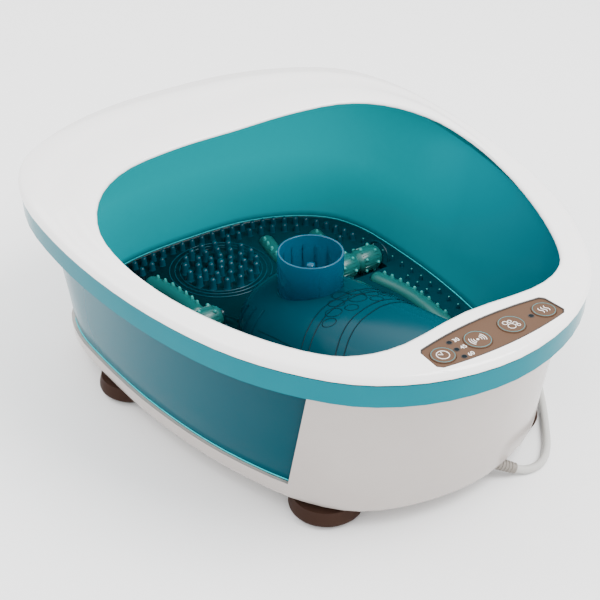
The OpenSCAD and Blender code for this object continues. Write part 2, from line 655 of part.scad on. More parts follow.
// Cord: the sleeve leaves the base's lower edge and points down to the table
cord_exit = [44, -178, 6];
gland_tip_r = cord_d / 2 + 1;
gland_r = gland_tip_r + 0.6;
gland_l = 26;
gland_turn = -27.7;
gland_tilt = 65;
coil_middle = [200, 60];
coil_r = 6 * cord_d;
coil_columns = 2;
coil_layers = 3;
coil_lift = 0.8;
tie_gap = 0.25;
cord_route = [[44, -178, 6], [50, -181, 3.9], [57, -182.7, 3.05], [64, -182.3, 3], [71, -179.6, 3],
    [78, -174.8, 3], [86, -167.5, 3], [95.5, -157, 3], [105, -146, 3], [115, -134, 3], [125, -121, 3],
    [136, -107, 3], [145, -91, 3], [151, -73, 3], [155, -52, 3], [158, -30, 3], [160, -5, 3],
    [161, 20, 3.2], [161, 34, 3.6]];
plug_route = [[161, 80, 9.8], [162, 90, 7.8], [164, 99, 6.4], [167, 108, 6.8], [170, 116, 8]];
plug_y = 116;
module gland_place() {
    translate(cord_exit) rotate([0, 0, gland_turn]) rotate([0, 180 - gland_tilt, 0])
        rotate([180, 0, 0]) children();
}
module cord_gland() color("gainsboro") gland_place() difference() {
    union() {
        cylinder(r1 = gland_tip_r, r2 = gland_r, h = gland_l - 6, $fn = 48);
        translate([0, 0, gland_l - 6]) cylinder(r = gland_r, h = 6, $fn = 48);
    }
    translate([0, 0, 4]) cylinder(r = cord_d / 2, h = gland_l, $fn = 48);
}
function along(p, i) = let (a = p[max(0, i - 1)], b = p[min(len(p) - 1, i + 1)]) (b - a) / norm(b - a);
module tube(p, sides = 10) {
    rings = [for (i = [0:len(p) - 1])
        let (t = along(p, i), u = [t[1], -t[0], 0] / norm([t[0], t[1]]), v = cross(t, u))
        [for (j = [0:sides - 1])
            let (a = 360 * (j + 0.5) / sides) p[i] + cord_d / 2 * (cos(a) * u - sin(a) * v)]];
    loft(rings);
}
module cord() color("gainsboro") {
    tube(cord_route);
    tube(plug_route);
}
module cord_coil() color("gainsboro") translate([coil_middle[0], coil_middle[1], coil_lift])
    rotate_extrude($fn = 96) translate([coil_r - coil_columns * cord_d / 2, 0])
        square([coil_columns * cord_d, coil_layers * cord_d]);
module cord_tie() color("black") translate([coil_middle[0] + coil_r, coil_middle[1], coil_lift]) difference() {
    translate([-coil_columns * cord_d / 2 - 1.2, -3, -coil_lift])
        cube([coil_columns * cord_d + 2.4, 6, coil_layers * cord_d + 2 * coil_lift]);
    translate([-coil_columns * cord_d / 2 - tie_gap, -4, 0])
        cube([coil_columns * cord_d + tie_gap, 8, coil_layers * cord_d]);
}
module plug() color("gainsboro") translate([170, plug_y, 8]) {
    rotate([-90, 0, 0]) cylinder(r1 = cord_d / 2 + 0.6, r2 = 6, h = 20, $fn = 48);
    translate([-13, 20, -7]) cube([26, 30, 14]);
    for (x = [-9.5, 9.5]) translate([x, 50, 0]) rotate([-90, 0, 0]) cylinder(r = 2, h = 19, $fn = 32);
}

base_shell();
tub();
top_rim();
rim_seal();
arch_cover();
tool_cup();
control_panel();
circuit_board();
panel_button(0);  // timer_button
panel_button(1);  // massage_button
panel_button(2);  // bubble_button
panel_button(3);  // heat_button
led(0);  // timer_led_30
led(1);  // timer_led_45
led(2);  // timer_led_60
led(3);  // heat_led
roller_names = ["heel_left", "heel_right", "toe_left", "toe_right"];
for (k = [0:3]) roller(k);
for (k = [0:3]) axle(k);
for (k = [0:3]) tray(k);
strip_names = ["heel_inner_left", "heel_inner_right", "heel_outer_left", "heel_outer_right",
    "toe_inner_left", "toe_inner_right", "toe_outer_left", "toe_outer_right"];
for (k = [0:7]) strip(k);
nub_cluster();
edge_nubs();
foot_names = ["front_left", "front_right", "back_left", "back_right"];
for (k = [0:3]) foot(k);
foot_pads();
base_screws();
pump_housing();
pump_motor();
pump_impeller();
air_manifold();
vibration_motor();
motor_clamp();
eccentric_weight();
heater_plate();
thermal_cutout();
cord_gland();
cord();
cord_coil();
cord_tie();
plug();
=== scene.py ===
# %% [markdown]
# # A foot spa basin
# A foot spa is a tub of clear coloured plastic in a white base. Its floor carries rollers, bubble strips and
# rubbery nubs, an arch runs between the feet, and a panel of buttons sits in the rim. The exact parts come
# in as a fixed frame, in metres. Each step below either gives such a part its finish, or models a finer
# piece that stands for it.

# %% Load the frame
import json
import math

import bpy
from mathutils import Matrix, Vector
from mathutils.bvhtree import BVHTree

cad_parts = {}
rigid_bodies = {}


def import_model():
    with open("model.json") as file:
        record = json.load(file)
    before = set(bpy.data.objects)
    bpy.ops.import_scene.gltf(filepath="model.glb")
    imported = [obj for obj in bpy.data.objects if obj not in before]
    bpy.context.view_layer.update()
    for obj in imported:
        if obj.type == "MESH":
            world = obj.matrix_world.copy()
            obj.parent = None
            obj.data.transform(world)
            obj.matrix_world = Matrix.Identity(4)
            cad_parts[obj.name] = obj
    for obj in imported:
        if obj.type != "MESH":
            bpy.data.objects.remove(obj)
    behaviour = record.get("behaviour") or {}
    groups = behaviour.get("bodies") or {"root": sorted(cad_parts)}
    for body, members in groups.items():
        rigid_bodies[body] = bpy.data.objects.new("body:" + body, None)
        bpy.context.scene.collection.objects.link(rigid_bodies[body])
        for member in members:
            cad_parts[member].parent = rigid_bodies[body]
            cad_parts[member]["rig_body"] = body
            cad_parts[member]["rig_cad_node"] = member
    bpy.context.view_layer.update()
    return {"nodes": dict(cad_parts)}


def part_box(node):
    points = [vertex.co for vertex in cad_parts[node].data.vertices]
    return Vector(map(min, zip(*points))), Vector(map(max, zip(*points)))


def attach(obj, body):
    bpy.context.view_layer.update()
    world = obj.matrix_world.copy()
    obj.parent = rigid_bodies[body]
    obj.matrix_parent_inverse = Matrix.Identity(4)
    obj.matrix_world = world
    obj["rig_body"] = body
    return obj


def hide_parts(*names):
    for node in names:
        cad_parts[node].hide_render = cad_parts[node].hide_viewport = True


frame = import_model()
nodes = frame["nodes"]
mm = 0.001
body = "basin"

# %% [markdown]
# ## Camera
# The camera comes first, because the cord has to be judged from it. It looks down on the basin from the
# control panel's left. A long lens keeps the near and far edges in the proportion they have from one step
# away. It is turned a little past the basin, which puts the basin left of the middle of the frame.

# %% Camera
azimuth = math.radians(-37.03)
elevation = math.radians(33.39)
camera_place = Vector((-0.4625, -0.6272, 0.5815))
focal_mm, sensor_mm = 74.7, 36
sideways = -0.01998
back = Vector((math.sin(azimuth) * math.cos(elevation), -math.cos(azimuth) * math.cos(elevation),
               math.sin(elevation)))
right = Vector((math.cos(azimuth), math.sin(azimuth), 0))
look = sideways * right - back
camera_data = bpy.data.cameras.new("camera")
camera_data.lens = focal_mm
camera_data.sensor_width = sensor_mm
camera = bpy.data.objects.new("camera", camera_data)
camera.location = camera_place
camera.rotation_euler = look.to_track_quat("-Z", "Y").to_euler()
bpy.context.scene.collection.objects.link(camera)
bpy.context.scene.camera = camera
print("camera", [round(v, 3) for v in camera_place])

# %% [markdown]
# ## Cord
# The mains cord is one length of 6 mm flex. A tube swept along a curve is the natural way to make it: the
# curve is the route, and the bevel is the thickness. It leaves the sleeve under the base, drops to the
# table, swings out past the front foot and along the basin's side, and is wound there into a coil of six
# turns. The turns lie in two columns and three layers, each next to the one before, so the loop steps
# from place to place.

# %% Cord
cord_d = 6 * mm
cord_route = [(44, -178, 6), (50, -181, 3.9), (57, -182.7, 3.05), (64, -182.3, 3), (71, -179.6, 3),
              (78, -174.8, 3), (86, -167.5, 3), (95.5, -157, 3), (105, -146, 3), (115, -134, 3),
              (125, -121, 3), (136, -107, 3), (145, -91, 3), (151, -73, 3), (155, -52, 3), (158, -30, 3),
              (160, -5, 3), (161, 20, 3.2), (161, 34, 3.6)]
plug_route = [(161, 80, 9.8), (162, 90, 7.8), (164, 99, 6.4), (167, 108, 6.8), (170, 116, 8)]
coil_middle = Vector((200, 60, 0))
turn_places = [(39, 3.8), (33, 3.8), (33, 9.8), (33, 15.8), (39, 15.8), (39, 9.8)]
turn_points = 20
step_share = 0.25


def coil_point(turn, share):
    """A point of the coil, where share goes round one turn, clockwise from the basin's side."""
    here = turn_places[turn]
    after = turn_places[min(turn + 1, len(turn_places) - 1)]
    move = min(1, max(0, (share - 1 + step_share) / step_share))
    radius = here[0] + (after[0] - here[0]) * move
    height = here[1] + (after[1] - here[1]) * move
    angle = math.pi * (1 - 2 * share)
    return coil_middle + Vector((radius * math.cos(angle), radius * math.sin(angle), height))


coil_points = [coil_point(turn, k / turn_points)
               for turn in range(len(turn_places)) for k in range(turn_points)]
coil_points.append(coil_point(len(turn_places) - 1, 1))
cord_points = [Vector(p) * mm for p in cord_route] + [p * mm for p in coil_points]
cord_points += [Vector(p) * mm for p in plug_route]
curve = bpy.data.curves.new("mains_cord", "CURVE")
curve.dimensions = "3D"
curve.bevel_depth = cord_d / 2
curve.bevel_resolution = 3
curve.resolution_u = 4
curve.use_fill_caps = True
spline = curve.splines.new("BEZIER")
spline.bezier_points.add(len(cord_points) - 1)
for knot, point in zip(spline.bezier_points, cord_points):
    knot.co = point
    knot.handle_left_type = "AUTO"
    knot.handle_right_type = "AUTO"
cord = bpy.data.objects.new("mains_cord", curve)
bpy.context.scene.collection.objects.link(cord)
bpy.context.view_layer.update()

# %% [markdown]
# ## Finishes
# Nearly all of this object is moulded plastic: a white ABS shell, clear coloured tub parts, milky green
# strips and a satin taupe panel. Moulded plastic is never one flat value. Its gloss varies a little where
# it was handled, and its skin has a faint waviness from the mould. One function adds a node with its
# settings and links. One more builds the plastic that all these finishes start from, and another makes a
# tone that changes from place to place, for walls with more light behind them at one end.

# %% Colours and nodes
def linear(code):
    """A hex sRGB colour as the linear colour that a shader works in."""
    parts = [int(code[i:i + 2], 16) / 255 for i in (1, 3, 5)]
    return [c / 12.92 if c <= 0.04045 else ((c + 0.055) / 1.055) ** 2.4 for c in parts] + [1]


def add_node(material, kind, settings=(), links=()):
    """Adds a node. settings are (socket or property, value), and links are (socket, node, output)."""
    node = material.node_tree.nodes.new("ShaderNode" + kind)
    for name, value in settings:
        if isinstance(name, str) and hasattr(node, name):
            setattr(node, name, value)
        else:
            node.inputs[name].default_value = value
    for socket, source, output in links:
        material.node_tree.links.new(node.inputs[socket], source.outputs[output])
    return node


def blank(name):
    """A material that holds only the object coordinates that its patterns use."""
    material = bpy.data.materials.new(name)
    material.use_nodes = True
    material.node_tree.nodes.clear()
    return material, add_node(material, "TexCoord")


def plastic(name, colour, shade, roughness, wave_mm, wave_height, settings=()):
    """Moulded plastic: two close shades in soft patches, a varying gloss and the mould's faint waves."""
    material, place = blank(name)
    patches = add_node(material, "TexNoise", [("Scale", 1 / (40 * mm)), ("Detail", 3)],
                       [("Vector", place, "Object")])
    waves = add_node(material, "TexNoise", [("Scale", 1 / (wave_mm * mm)), ("Detail", 2)],
                     [("Vector", place, "Object")])
    tone = add_node(material, "Mix", [("data_type", "RGBA"), (6, linear(colour)), (7, linear(shade))],
                    [(0, patches, 0)])
    gloss = add_node(material, "MapRange", [("To Min", roughness * 0.8), ("To Max", roughness * 1.25)],
                     [("Value", patches, 0)])
    bump = add_node(material, "Bump", [("Strength", 0.6), ("Distance", wave_height * mm)],
                    [("Height", waves, 0)])
    shader = add_node(material, "BsdfPrincipled", [("IOR", 1.5)] + list(settings),
                      [("Base Color", tone, 2), ("Roughness", gloss, 0), ("Normal", bump, 0)])
    add_node(material, "OutputMaterial", [], [("Surface", shader, 0)])
    return material


soft_skin = [("Specular IOR Level", 0.06)]
# Glossy white ABS, polished mould: bright, with sharp reflections.
white_abs = plastic("white_gloss_abs", "#f6f4f3", "#efedec", 0.16, 9, 0.012, [("Coat Weight", 0.3)])
# The base is the same white ABS, painted darker, greyer and warmer than the rim, as painted shade on its
# walls.
white_abs_painted_shade = plastic("white_abs_painted_shade", "#aaa29d", "#a09893", 0.22, 9, 0.012, [("Coat Weight", 0.15)])
# Clear teal styrene-acrylonitrile: a polished wall with a little light passing through it.
tub_plastic = plastic("clear_teal_san", "#00a8b8", "#009cac", 0.16, 14, 0.02,
                      soft_skin + [("Transmission Weight", 0.08)])
# The arch: the same plastic, bluer and denser.
arch_plastic = plastic("clear_blue_san", "#005f7c", "#00546f", 0.17, 12, 0.03, soft_skin)
# The cup: the blue plastic in a thin wall, so that its ribs and post show through.
cup_plastic = plastic("clear_blue_thin_san", "#06607e", "#045673", 0.1, 12, 0.02,
                      soft_skin + [("Transmission Weight", 0.5)])
# Floor fittings of the tub: the teal painted deep and dark, as painted shade for the dark underside behind
# it.
teal_painted_shade = plastic("teal_painted_shade_san", "#003640", "#002c35", 0.22, 6, 0.02, [("Specular IOR Level", 0.35)])
# The nubs of the floor are thicker, and catch a little blue.
nub_teal = plastic("nub_teal_san", "#06414f", "#043643", 0.2, 5, 0.02, [("Specular IOR Level", 0.3)])
# Printed and pressed lines on the arch, where the plastic is doubled, and painted shadow beside its nose
# folds: nearly black teal.
line_and_shadow_teal = plastic("line_and_shadow_teal_san", "#001a22", "#00151c", 0.3, 5, 0.01, soft_skin)
# Painted highlight: pale teal for the light that the rounded step between wall and floor gathers along its
# edge.
painted_edge_highlight = plastic("clear_teal_edge_highlight_san", "#2cc4cc", "#25b8c2", 0.2, 6, 0.01, soft_skin)
# Milky green TPE over plastic: soft gloss with a little light scattered under the skin.
milky_green = plastic("milky_green_tpe", "#0e605c", "#0a5451", 0.3, 3, 0.03,
                      [("Subsurface Weight", 0.1), ("Subsurface Scale", 0.003)])
# Painted highlight: a paler green for the nubs on it, standing for the light their round tips catch.
nub_tip_highlight = plastic("pale_green_tpe_highlight", "#2f908a", "#288580", 0.3, 2, 0.02)
# Satin taupe ABS with a fine texture, as on a spark-eroded mould.
taupe_abs = plastic("satin_taupe_abs", "#574234", "#4f3b2e", 0.42, 0.9, 0.03, soft_skin)
# The feet: the same taupe, darker, in a soft rubber-like plastic.
taupe_foot = plastic("taupe_tpe", "#33231c", "#2a1b15", 0.5, 1.2, 0.04, soft_skin)
# Grey parts inside: plain moulded polypropylene.
grey_pp = plastic("grey_pp", "#8a8c8e", "#7e8082", 0.45, 2, 0.03)
# The gasket under the rim: matt silicone.
silicone = plastic("grey_silicone", "#5a6264", "#4f5658", 0.6, 2, 0.02)
# Milky silicone hose.
hose_silicone = plastic("milky_silicone", "#dfe3e2", "#d2d8d7", 0.4, 3, 0.02, [("Transmission Weight", 0.2)])
# PVC flex: pale grey, slightly soft gloss, faint cross ripple from the extruder.
cord_pvc = plastic("pale_grey_pvc", "#b3b2ae", "#a8a7a3", 0.38, 4, 0.04)
# The sleeve on it is a darker, softer grade.
sleeve_pvc = plastic("warm_grey_pvc", "#7c766e", "#716b64", 0.45, 3, 0.04)
# Black nylon: the tie and the cut-out.
black_nylon = plastic("black_nylon", "#1d1e20", "#16171a", 0.45, 1.5, 0.03)
# Rubber pads: matt and nearly black.
pad_rubber = plastic("pad_rubber", "#3a332f", "#2f2926", 0.75, 1, 0.05)
# Tinted LED lenses: dark glossy acrylic with a cyan cast.
tinted_acrylic = plastic("tinted_acrylic", "#04141a", "#031016", 0.15, 4, 0.01, soft_skin)
# White pad printing on the panel.
print_white = plastic("pad_print_white", "#efeae6", "#e4deda", 0.5, 1, 0.005)
# Printed rings round the buttons: cyan ink with a faint metallic cast.
ring_ink = plastic("silver_cyan_ink", "#2f8c92", "#287f85", 0.35, 1, 0.005)
# Dark seat round each lens, and painted shade in the panel's gap and in the crosses of the screw heads.
dark_gap = plastic("dark_gap_abs", "#2b211c", "#231a16", 0.6, 1, 0.01)
# Circuit board: glass fibre under green solder mask.
solder_mask = plastic("green_solder_mask", "#1f6b3a", "#195a30", 0.3, 1, 0.01)


def metal(name, colour, roughness, line_mm, turn):
    """Worked metal, with fine lines from the tool along one direction, on a plain metallic shader."""
    material, place = blank(name)
    turned_place = add_node(material, "Mapping", [("Rotation", turn), ("Scale", (1, 1, 0.04))],
                            [("Vector", place, "Object")])
    lines = add_node(material, "TexNoise", [("Scale", 1 / (line_mm * mm)), ("Detail", 4)],
                     [("Vector", turned_place, 0)])
    gloss = add_node(material, "MapRange", [("To Min", roughness * 0.7), ("To Max", roughness * 1.4)],
                     [("Value", lines, 0)])
    bump = add_node(material, "Bump", [("Strength", 0.4), ("Distance", 0.02 * mm)], [("Height", lines, 0)])
    shader = add_node(material, "BsdfPrincipled", [("Base Color", linear(colour)), ("Metallic", 1)],
                      [("Roughness", gloss, 0), ("Normal", bump, 0)])
    add_node(material, "OutputMaterial", [], [("Surface", shader, 0)])
    return material


# Bright drawn steel, with lines along the bar.
drawn_steel = metal("drawn_steel", "#c9ccce", 0.25, 0.8, (0, math.pi / 2, 0))
# Turned brass weight.
turned_brass = metal("turned_brass", "#c9a35a", 0.3, 0.8, (0, 0, 0))
# Rolled aluminium heater plate.
rolled_aluminium = metal("rolled_aluminium", "#cfd2d3", 0.35, 0.9, (math.pi / 2, 0, 0))


def tone_along(material, axis, start, end, low_tone, high_tone):
    """A tone that changes between two places in mm along an axis. Each end is a hex colour or such a tone."""
    where = add_node(material, "SeparateXYZ", [], [(0, add_node(material, "TexCoord"), "Object")])
    share = add_node(material, "MapRange", [("From Min", start * mm), ("From Max", end * mm)],
                     [("Value", where, axis)])
    ends = ((6, low_tone), (7, high_tone))
    fixed = [(socket, linear(tone)) for socket, tone in ends if isinstance(tone, str)]
    linked = [(socket, tone, 2) for socket, tone in ends if not isinstance(tone, str)]
    return add_node(material, "Mix", [("data_type", "RGBA")] + fixed, [(0, share, 0)] + linked)


def feed(material, socket, tone):
    """Leads a tone into one socket of the material's shader, and returns the shader."""
    shader = material.node_tree.nodes["Principled BSDF"]
    material.node_tree.links.new(shader.inputs[socket], tone.outputs[2])
    return shader


# Painted light and shade: the walls are painted lighter towards the heel end, where light comes in behind
# them, and the floor darker for the dark works behind it.
wall_tone = tone_along(tub_plastic, "Y", -170, 170, "#004a58", "#009faa")
floor_tone = tone_along(tub_plastic, "X", -60, 125, "#00171d", "#003640")
feed(tub_plastic, "Base Color", tone_along(tub_plastic, "Z", 30, 37, floor_tone, wall_tone))
# Painted light: an emission makes the inner face glow, most towards the heel end and near the rim, for the
# light that comes in through the wall.
glow = tone_along(tub_plastic, "Y", 0, 185, "#000000", "#00c8ce")
tub_shader = feed(tub_plastic, "Emission Color", tone_along(tub_plastic, "Z", 34, 90, "#000000", glow))
tub_shader.inputs["Emission Strength"].default_value = 0.4
# Painted shade: the outer face of the same wall stands before the dark inside, so it is a darker copy,
# darkest towards the toe end.
tub_outer = plastic("clear_teal_outer_san", "#007d90", "#007386", 0.16, 14, 0.02, soft_skin)
feed(tub_outer, "Base Color", tone_along(tub_outer, "Y", -170, 170, "#002f3a", "#005a68"))
# Painted light: the band under the rim stands clear of the dark inside, so it is a lighter copy, the
# brightest of the outer faces.
tub_band = plastic("clear_teal_band_san", "#006874", "#00606c", 0.16, 14, 0.02, soft_skin)
# Painted shade and light: the arch is painted deep over the motors at its nose, and brighter towards the
# panel, where it is hollow.
feed(arch_plastic, "Base Color", tone_along(arch_plastic, "Y", 50, -150, "#002531", "#003d48"))
print("materials", len(bpy.data.materials))

# %% [markdown]
# ## Working tools
# Each piece is shaped as by hand: a primitive is added, then extruded and scaled in edit mode. Round parts
# all grow the same way. A disc is extruded upwards ring by ring, and each ring takes its own radius, as
# when a pot is thrown. Copies of a small model each get their own mesh before they are joined.

# %% Modelling helpers
def extent(node):
    """The lowest, highest and middle point of an exact part's box, in mm."""
    low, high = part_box(node)
    return low / mm, high / mm, (low + high) / 2 / mm


def pick(piece):
    """Selects one piece only, and makes it the active one."""
    bpy.ops.object.select_all(action="DESELECT")
    piece.select_set(True)
    bpy.context.view_layer.objects.active = piece


def edit_all(piece, operator, **settings):
    """Runs an edit-mode operator on a whole mesh."""
    pick(piece)
    bpy.ops.object.mode_set(mode="EDIT")
    bpy.ops.mesh.select_all(action="SELECT")
    operator(**settings)
    bpy.ops.object.mode_set(mode="OBJECT")


def twin_of(piece):
    """A copy of a piece with a mesh of its own."""
    twin = piece.copy()
    twin.data = piece.data.copy()
    bpy.context.scene.collection.objects.link(twin)
    return twin


def place(piece, matrix):
    """Moves the mesh itself, so that the object stays at the origin."""
    pick(piece)
    bpy.ops.object.transform_apply(location=True, rotation=True, scale=True)
    piece.data.transform(matrix)
    return piece


def at(x, y, z):
    return Matrix.Translation(Vector((x, y, z)) * mm)


def turned(name, profile, segments=48):
    """A round piece: (radius, height) pairs in mm, from a first disc up, each one extruded from the last."""
    radius, height = profile[0]
    bpy.ops.mesh.primitive_circle_add(vertices=segments, radius=radius * mm, fill_type="NGON",
                                      location=(0, 0, height * mm))
    piece = bpy.context.object
    piece.name = name
    bpy.ops.object.transform_apply(location=True)
    bpy.ops.object.mode_set(mode="EDIT")
    for r, h in profile[1:]:
        bpy.ops.mesh.extrude_region_move(TRANSFORM_OT_translate={"value": (0, 0, (h - height) * mm)})
        bpy.ops.transform.resize(value=(r / radius, r / radius, 1), center_override=(0, 0, h * mm))
        radius, height = r, h
    bpy.ops.mesh.select_all(action="SELECT")
    bpy.ops.mesh.normals_make_consistent(inside=False)
    bpy.ops.object.mode_set(mode="OBJECT")
    bpy.ops.object.shade_smooth_by_angle(angle=math.radians(40))
    return piece


def joined(name, pieces):
    """Joins pieces into one mesh under a new name."""
    pick(pieces[0])
    for piece in pieces:
        piece.select_set(True)
    if len(pieces) > 1:
        bpy.ops.object.join()
    whole = bpy.context.view_layer.objects.active
    whole.name = name
    whole.data.name = name
    return whole


def copies(name, model, matrices, keep=False):
    """One joined piece of copies of a model, each with its own mesh."""
    twins = []
    for matrix in matrices:
        twins.append(twin_of(model))
        twins[-1].data.transform(matrix)
    if not keep:
        bpy.data.objects.remove(model)
    return joined(name, twins)


def wire(name, points, radius, closed=False, swell=None, resolution=1):
    """A round bead along points, made a mesh. swell holds one share of the radius for each point."""
    path = bpy.data.curves.new(name, "CURVE")
    path.dimensions = "3D"
    path.bevel_depth = radius * mm
    path.bevel_resolution = resolution
    path.use_fill_caps = True
    line = path.splines.new("POLY")
    line.points.add(len(points) - 1)
    for knot, point, share in zip(line.points, points, swell or [1] * len(points)):
        knot.co = (*(Vector(point) * mm), 1)
        knot.radius = share
    line.use_cyclic_u = closed
    piece = bpy.data.objects.new(name, path)
    bpy.context.scene.collection.objects.link(piece)
    pick(piece)
    bpy.ops.object.convert(target="MESH")
    piece = bpy.context.object
    bpy.ops.object.shade_smooth()
    return piece


def smooth_copy(name, node, angle):
    """A copy of an exact part with its triangles merged, so that light runs smoothly over it."""
    piece = twin_of(nodes[node])
    piece.parent = None
    piece.name = name
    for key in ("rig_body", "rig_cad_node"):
        if key in piece:
            del piece[key]
    edit_all(piece, bpy.ops.mesh.remove_doubles, threshold=0.01 * mm)
    edit_all(piece, bpy.ops.mesh.tris_convert_to_quads, face_threshold=math.radians(10),
             shape_threshold=math.radians(40))
    bpy.ops.object.shade_smooth_by_angle(angle=math.radians(angle))
    return piece


def finish(piece, material, rides_on=body, stands_for=()):
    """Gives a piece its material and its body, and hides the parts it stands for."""
    if material is not None:
        piece.data.materials.clear()
        piece.data.materials.append(material)
    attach(piece, rides_on)
    if stands_for:
        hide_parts(*stands_for)
    return piece


def arc(radius, start, end, count, z=0.0):
    """Points of an arc in the XY plane, in degrees."""
    angles = [math.radians(start + (end - start) * k / count) for k in range(count + 1)]
    return [(radius * math.cos(a), radius * math.sin(a), z) for a in angles]


def hoop(name, x, y, z, radius, thickness, count=72):
    """A closed round bead of a radius, level, round a point."""
    return wire(name, [(x + p[0], y + p[1], z) for p in arc(radius, 0, 360, count)[:-1]], thickness,
                closed=True)


print("helpers ready")

# %% [markdown]
# ## Shells
# The base, tub, rim and arch are large moulded shapes whose exact outline is already in the frame. Copying
# the exact mesh and merging its loose triangles keeps that outline and lets the shading flow across the
# facets, which modelling them again would only approximate. Sharp edges stay sharp by angle. The tub's
# outer faces are found by their normals, and get a darker tone as painted shade, with a band under the rim
# painted brighter.

# %% Base, tub, rim and arch
shells = {"base_shell": (white_abs_painted_shade, 30, "white_shell"), "tub": (tub_plastic, 35, "teal_tub"),
          "top_rim": (white_abs, 38, "white_shell"), "arch_cover": (arch_plastic, 40, "blue_arch")}
shell_pieces = {}
for node, (material, angle, slot) in shells.items():
    shell_pieces[node] = finish(smooth_copy(node + "_moulding", node, angle), material, body, [node])
    print(node, len(shell_pieces[node].data.polygons), "faces")
tub_mesh = shell_pieces["tub"].data
tub_mesh.materials.append(tub_outer)
tub_mesh.materials.append(tub_band)
rim_low, rim_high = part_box("rim_seal")
band_h = 12 * mm
# Painted shade and light: outer wall faces take the darker copy, and those in the band under the rim the
# lighter one.
for face in tub_mesh.polygons:
    from_middle = face.center.x * face.normal.x + face.center.y * face.normal.y
    if from_middle > 0 and abs(face.normal.z) < 0.7:
        share = (face.center.y - rim_low.y) / (rim_high.y - rim_low.y)
        rim_z = rim_low.z + (rim_high.z - rim_low.z) * max(0, share) ** 1.2
        face.material_index = 2 if face.center.z > rim_z - band_h else 1

# %% [markdown]
# ## Plain parts
# Parts whose exact shape is already right keep it and only get a finish: the gasket, the inner works, the
# axles and the roller trays.

# %% Finishes on exact parts
places = ["heel_left", "heel_right", "toe_left", "toe_right"]
plain = {
    silicone: ["rim_seal"],
    grey_pp: ["pump_housing", "pump_impeller", "motor_clamp"],
    hose_silicone: ["air_manifold"],
    drawn_steel: ["pump_motor", "vibration_motor"] + ["axle_" + p for p in places],
    rolled_aluminium: ["heater_plate"],
    turned_brass: ["eccentric_weight"],
    black_nylon: ["thermal_cutout"],
    solder_mask: ["circuit_board"],
    pad_rubber: ["foot_pads"],
    teal_painted_shade: ["tray_" + p for p in places],
    tinted_acrylic: ["timer_led_30", "timer_led_45", "timer_led_60", "heat_led"],
}
for material, names in plain.items():
    for name in names:
        nodes[name].data.materials.clear()
        nodes[name].data.materials.append(material)
print("finished", sum(len(names) for names in plain.values()))

# %% [markdown]
# ## Cup
# The cup on the arch holds the heads for pumice and brush, which push onto its post. Inside, upright ribs
# guide them. The cup is thrown as one ring after another, up the outside, over a rounded lip and down to
# its floor, and the ribs are one rib copied round half of the wall.

# %% Cup
low, high, middle = extent("tool_cup")
cup_r = (high.x - low.x) / 2
cup_low, cup_top, cup_y = low.z, high.z, middle.y
cup_wall, cup_floor, lip = 2, 3, 0.6
cup = turned("cup_wall", [
    (cup_r - 0.4, cup_low), (cup_r, cup_low + 0.6), (cup_r, cup_top - lip), (cup_r - 0.3, cup_top - 0.15),
    (cup_r - lip, cup_top), (cup_r - cup_wall + lip, cup_top), (cup_r - cup_wall + 0.2, cup_top - 0.2),
    (cup_r - cup_wall, cup_top - lip), (cup_r - cup_wall - 0.3, cup_low + cup_floor + 2),
    (cup_r - cup_wall - 2, cup_low + cup_floor), (0.5, cup_low + cup_floor)], 96)
post = turned("post", [(3.5, cup_low + 2), (3.5, cup_low + 21.5), (3.2, cup_low + 22.4),
                       (2.4, cup_low + 22.9), (0.4, cup_low + 23)], 32)
rib = turned("rib", [(0.9, cup_low + 3), (0.9, cup_top - 9), (0.2, cup_top - 7)], 10)
rib_turns = [20, 44, 68, 92, 116, 140, 250, 300]
ribs = copies("ribs", rib, [Matrix.Rotation(math.radians(a), 4, "Z") @ at(cup_r - cup_wall - 0.1, 0, 0)
                            for a in rib_turns])
cup = place(joined("tool_cup_moulding", [cup, post, ribs]), at(0, cup_y, 0))
finish(cup, cup_plastic, body, ["tool_cup"])
print("cup", round(cup_r * 2, 1), "mm across")

# %% [markdown]
# ## Marks on the arch
# Fine lines cross the arch: two pairs that sweep over it like ribbons, a net of bubble outlines between
# them, and two ridges along each flank. They lie on a doubly curved surface, so each line's points are
# found by dropping them onto the arch from above. A thin bead then follows the points.

# %% Lines on the arch
arch_tree = BVHTree.FromObject(shell_pieces["arch_cover"], bpy.context.evaluated_depsgraph_get())


def drop(x, y, sink=0.1):
    """The point of the arch under (x, y), a little below its surface."""
    hit = arch_tree.ray_cast(Vector((x, y, 300)) * mm, Vector((0, 0, -1)))[0]
    return None if hit is None else (x, y, hit.z / mm - sink)


def ribbon(start, middle, end, radius=0.55):
    """A bead over the arch from one flank to the other, bowed through the middle point."""
    points = []
    for k in range(41):
        t = k / 40
        x = (1 - t) ** 2 * start[0] + 2 * t * (1 - t) * middle[0] + t * t * end[0]
        y = (1 - t) ** 2 * start[1] + 2 * t * (1 - t) * middle[1] + t * t * end[1]
        point = drop(x, y)
        if point and point[2] > 34:
            points.append(point)
    return wire("ribbon", points, radius)


lines = [ribbon((-60, -62), (-10, -14), (58, -34)), ribbon((-60, -70), (-8, -22), (58, -42)),
         ribbon((-60, -102), (-6, -38), (58, -62)), ribbon((-60, -110), (-4, -46), (58, -70))]
for x in (50, -50, 54, -54):
    lines.append(wire("ridge", [p for p in (drop(x, y) for y in range(0, -140, -6)) if p], 0.3))
bubbles = [(4, -27, 6), (15, -30, 5), (24, -38, 6), (10, -40, 7), (-6, -36, 6), (-16, -46, 6), (-26, -54, 5),
           (33, -44, 4), (-3, -50, 5), (20, -50, 5)]
for x, y, r in bubbles:
    outline = [drop(x + p[0], y + p[1]) for p in arc(r, 0, 360, 20)[:-1]]
    lines.append(wire("bubble", outline, 0.4, closed=True))
finish(joined("arch_marks", lines), line_and_shadow_teal, body, ())
print("arch lines", len(lines))
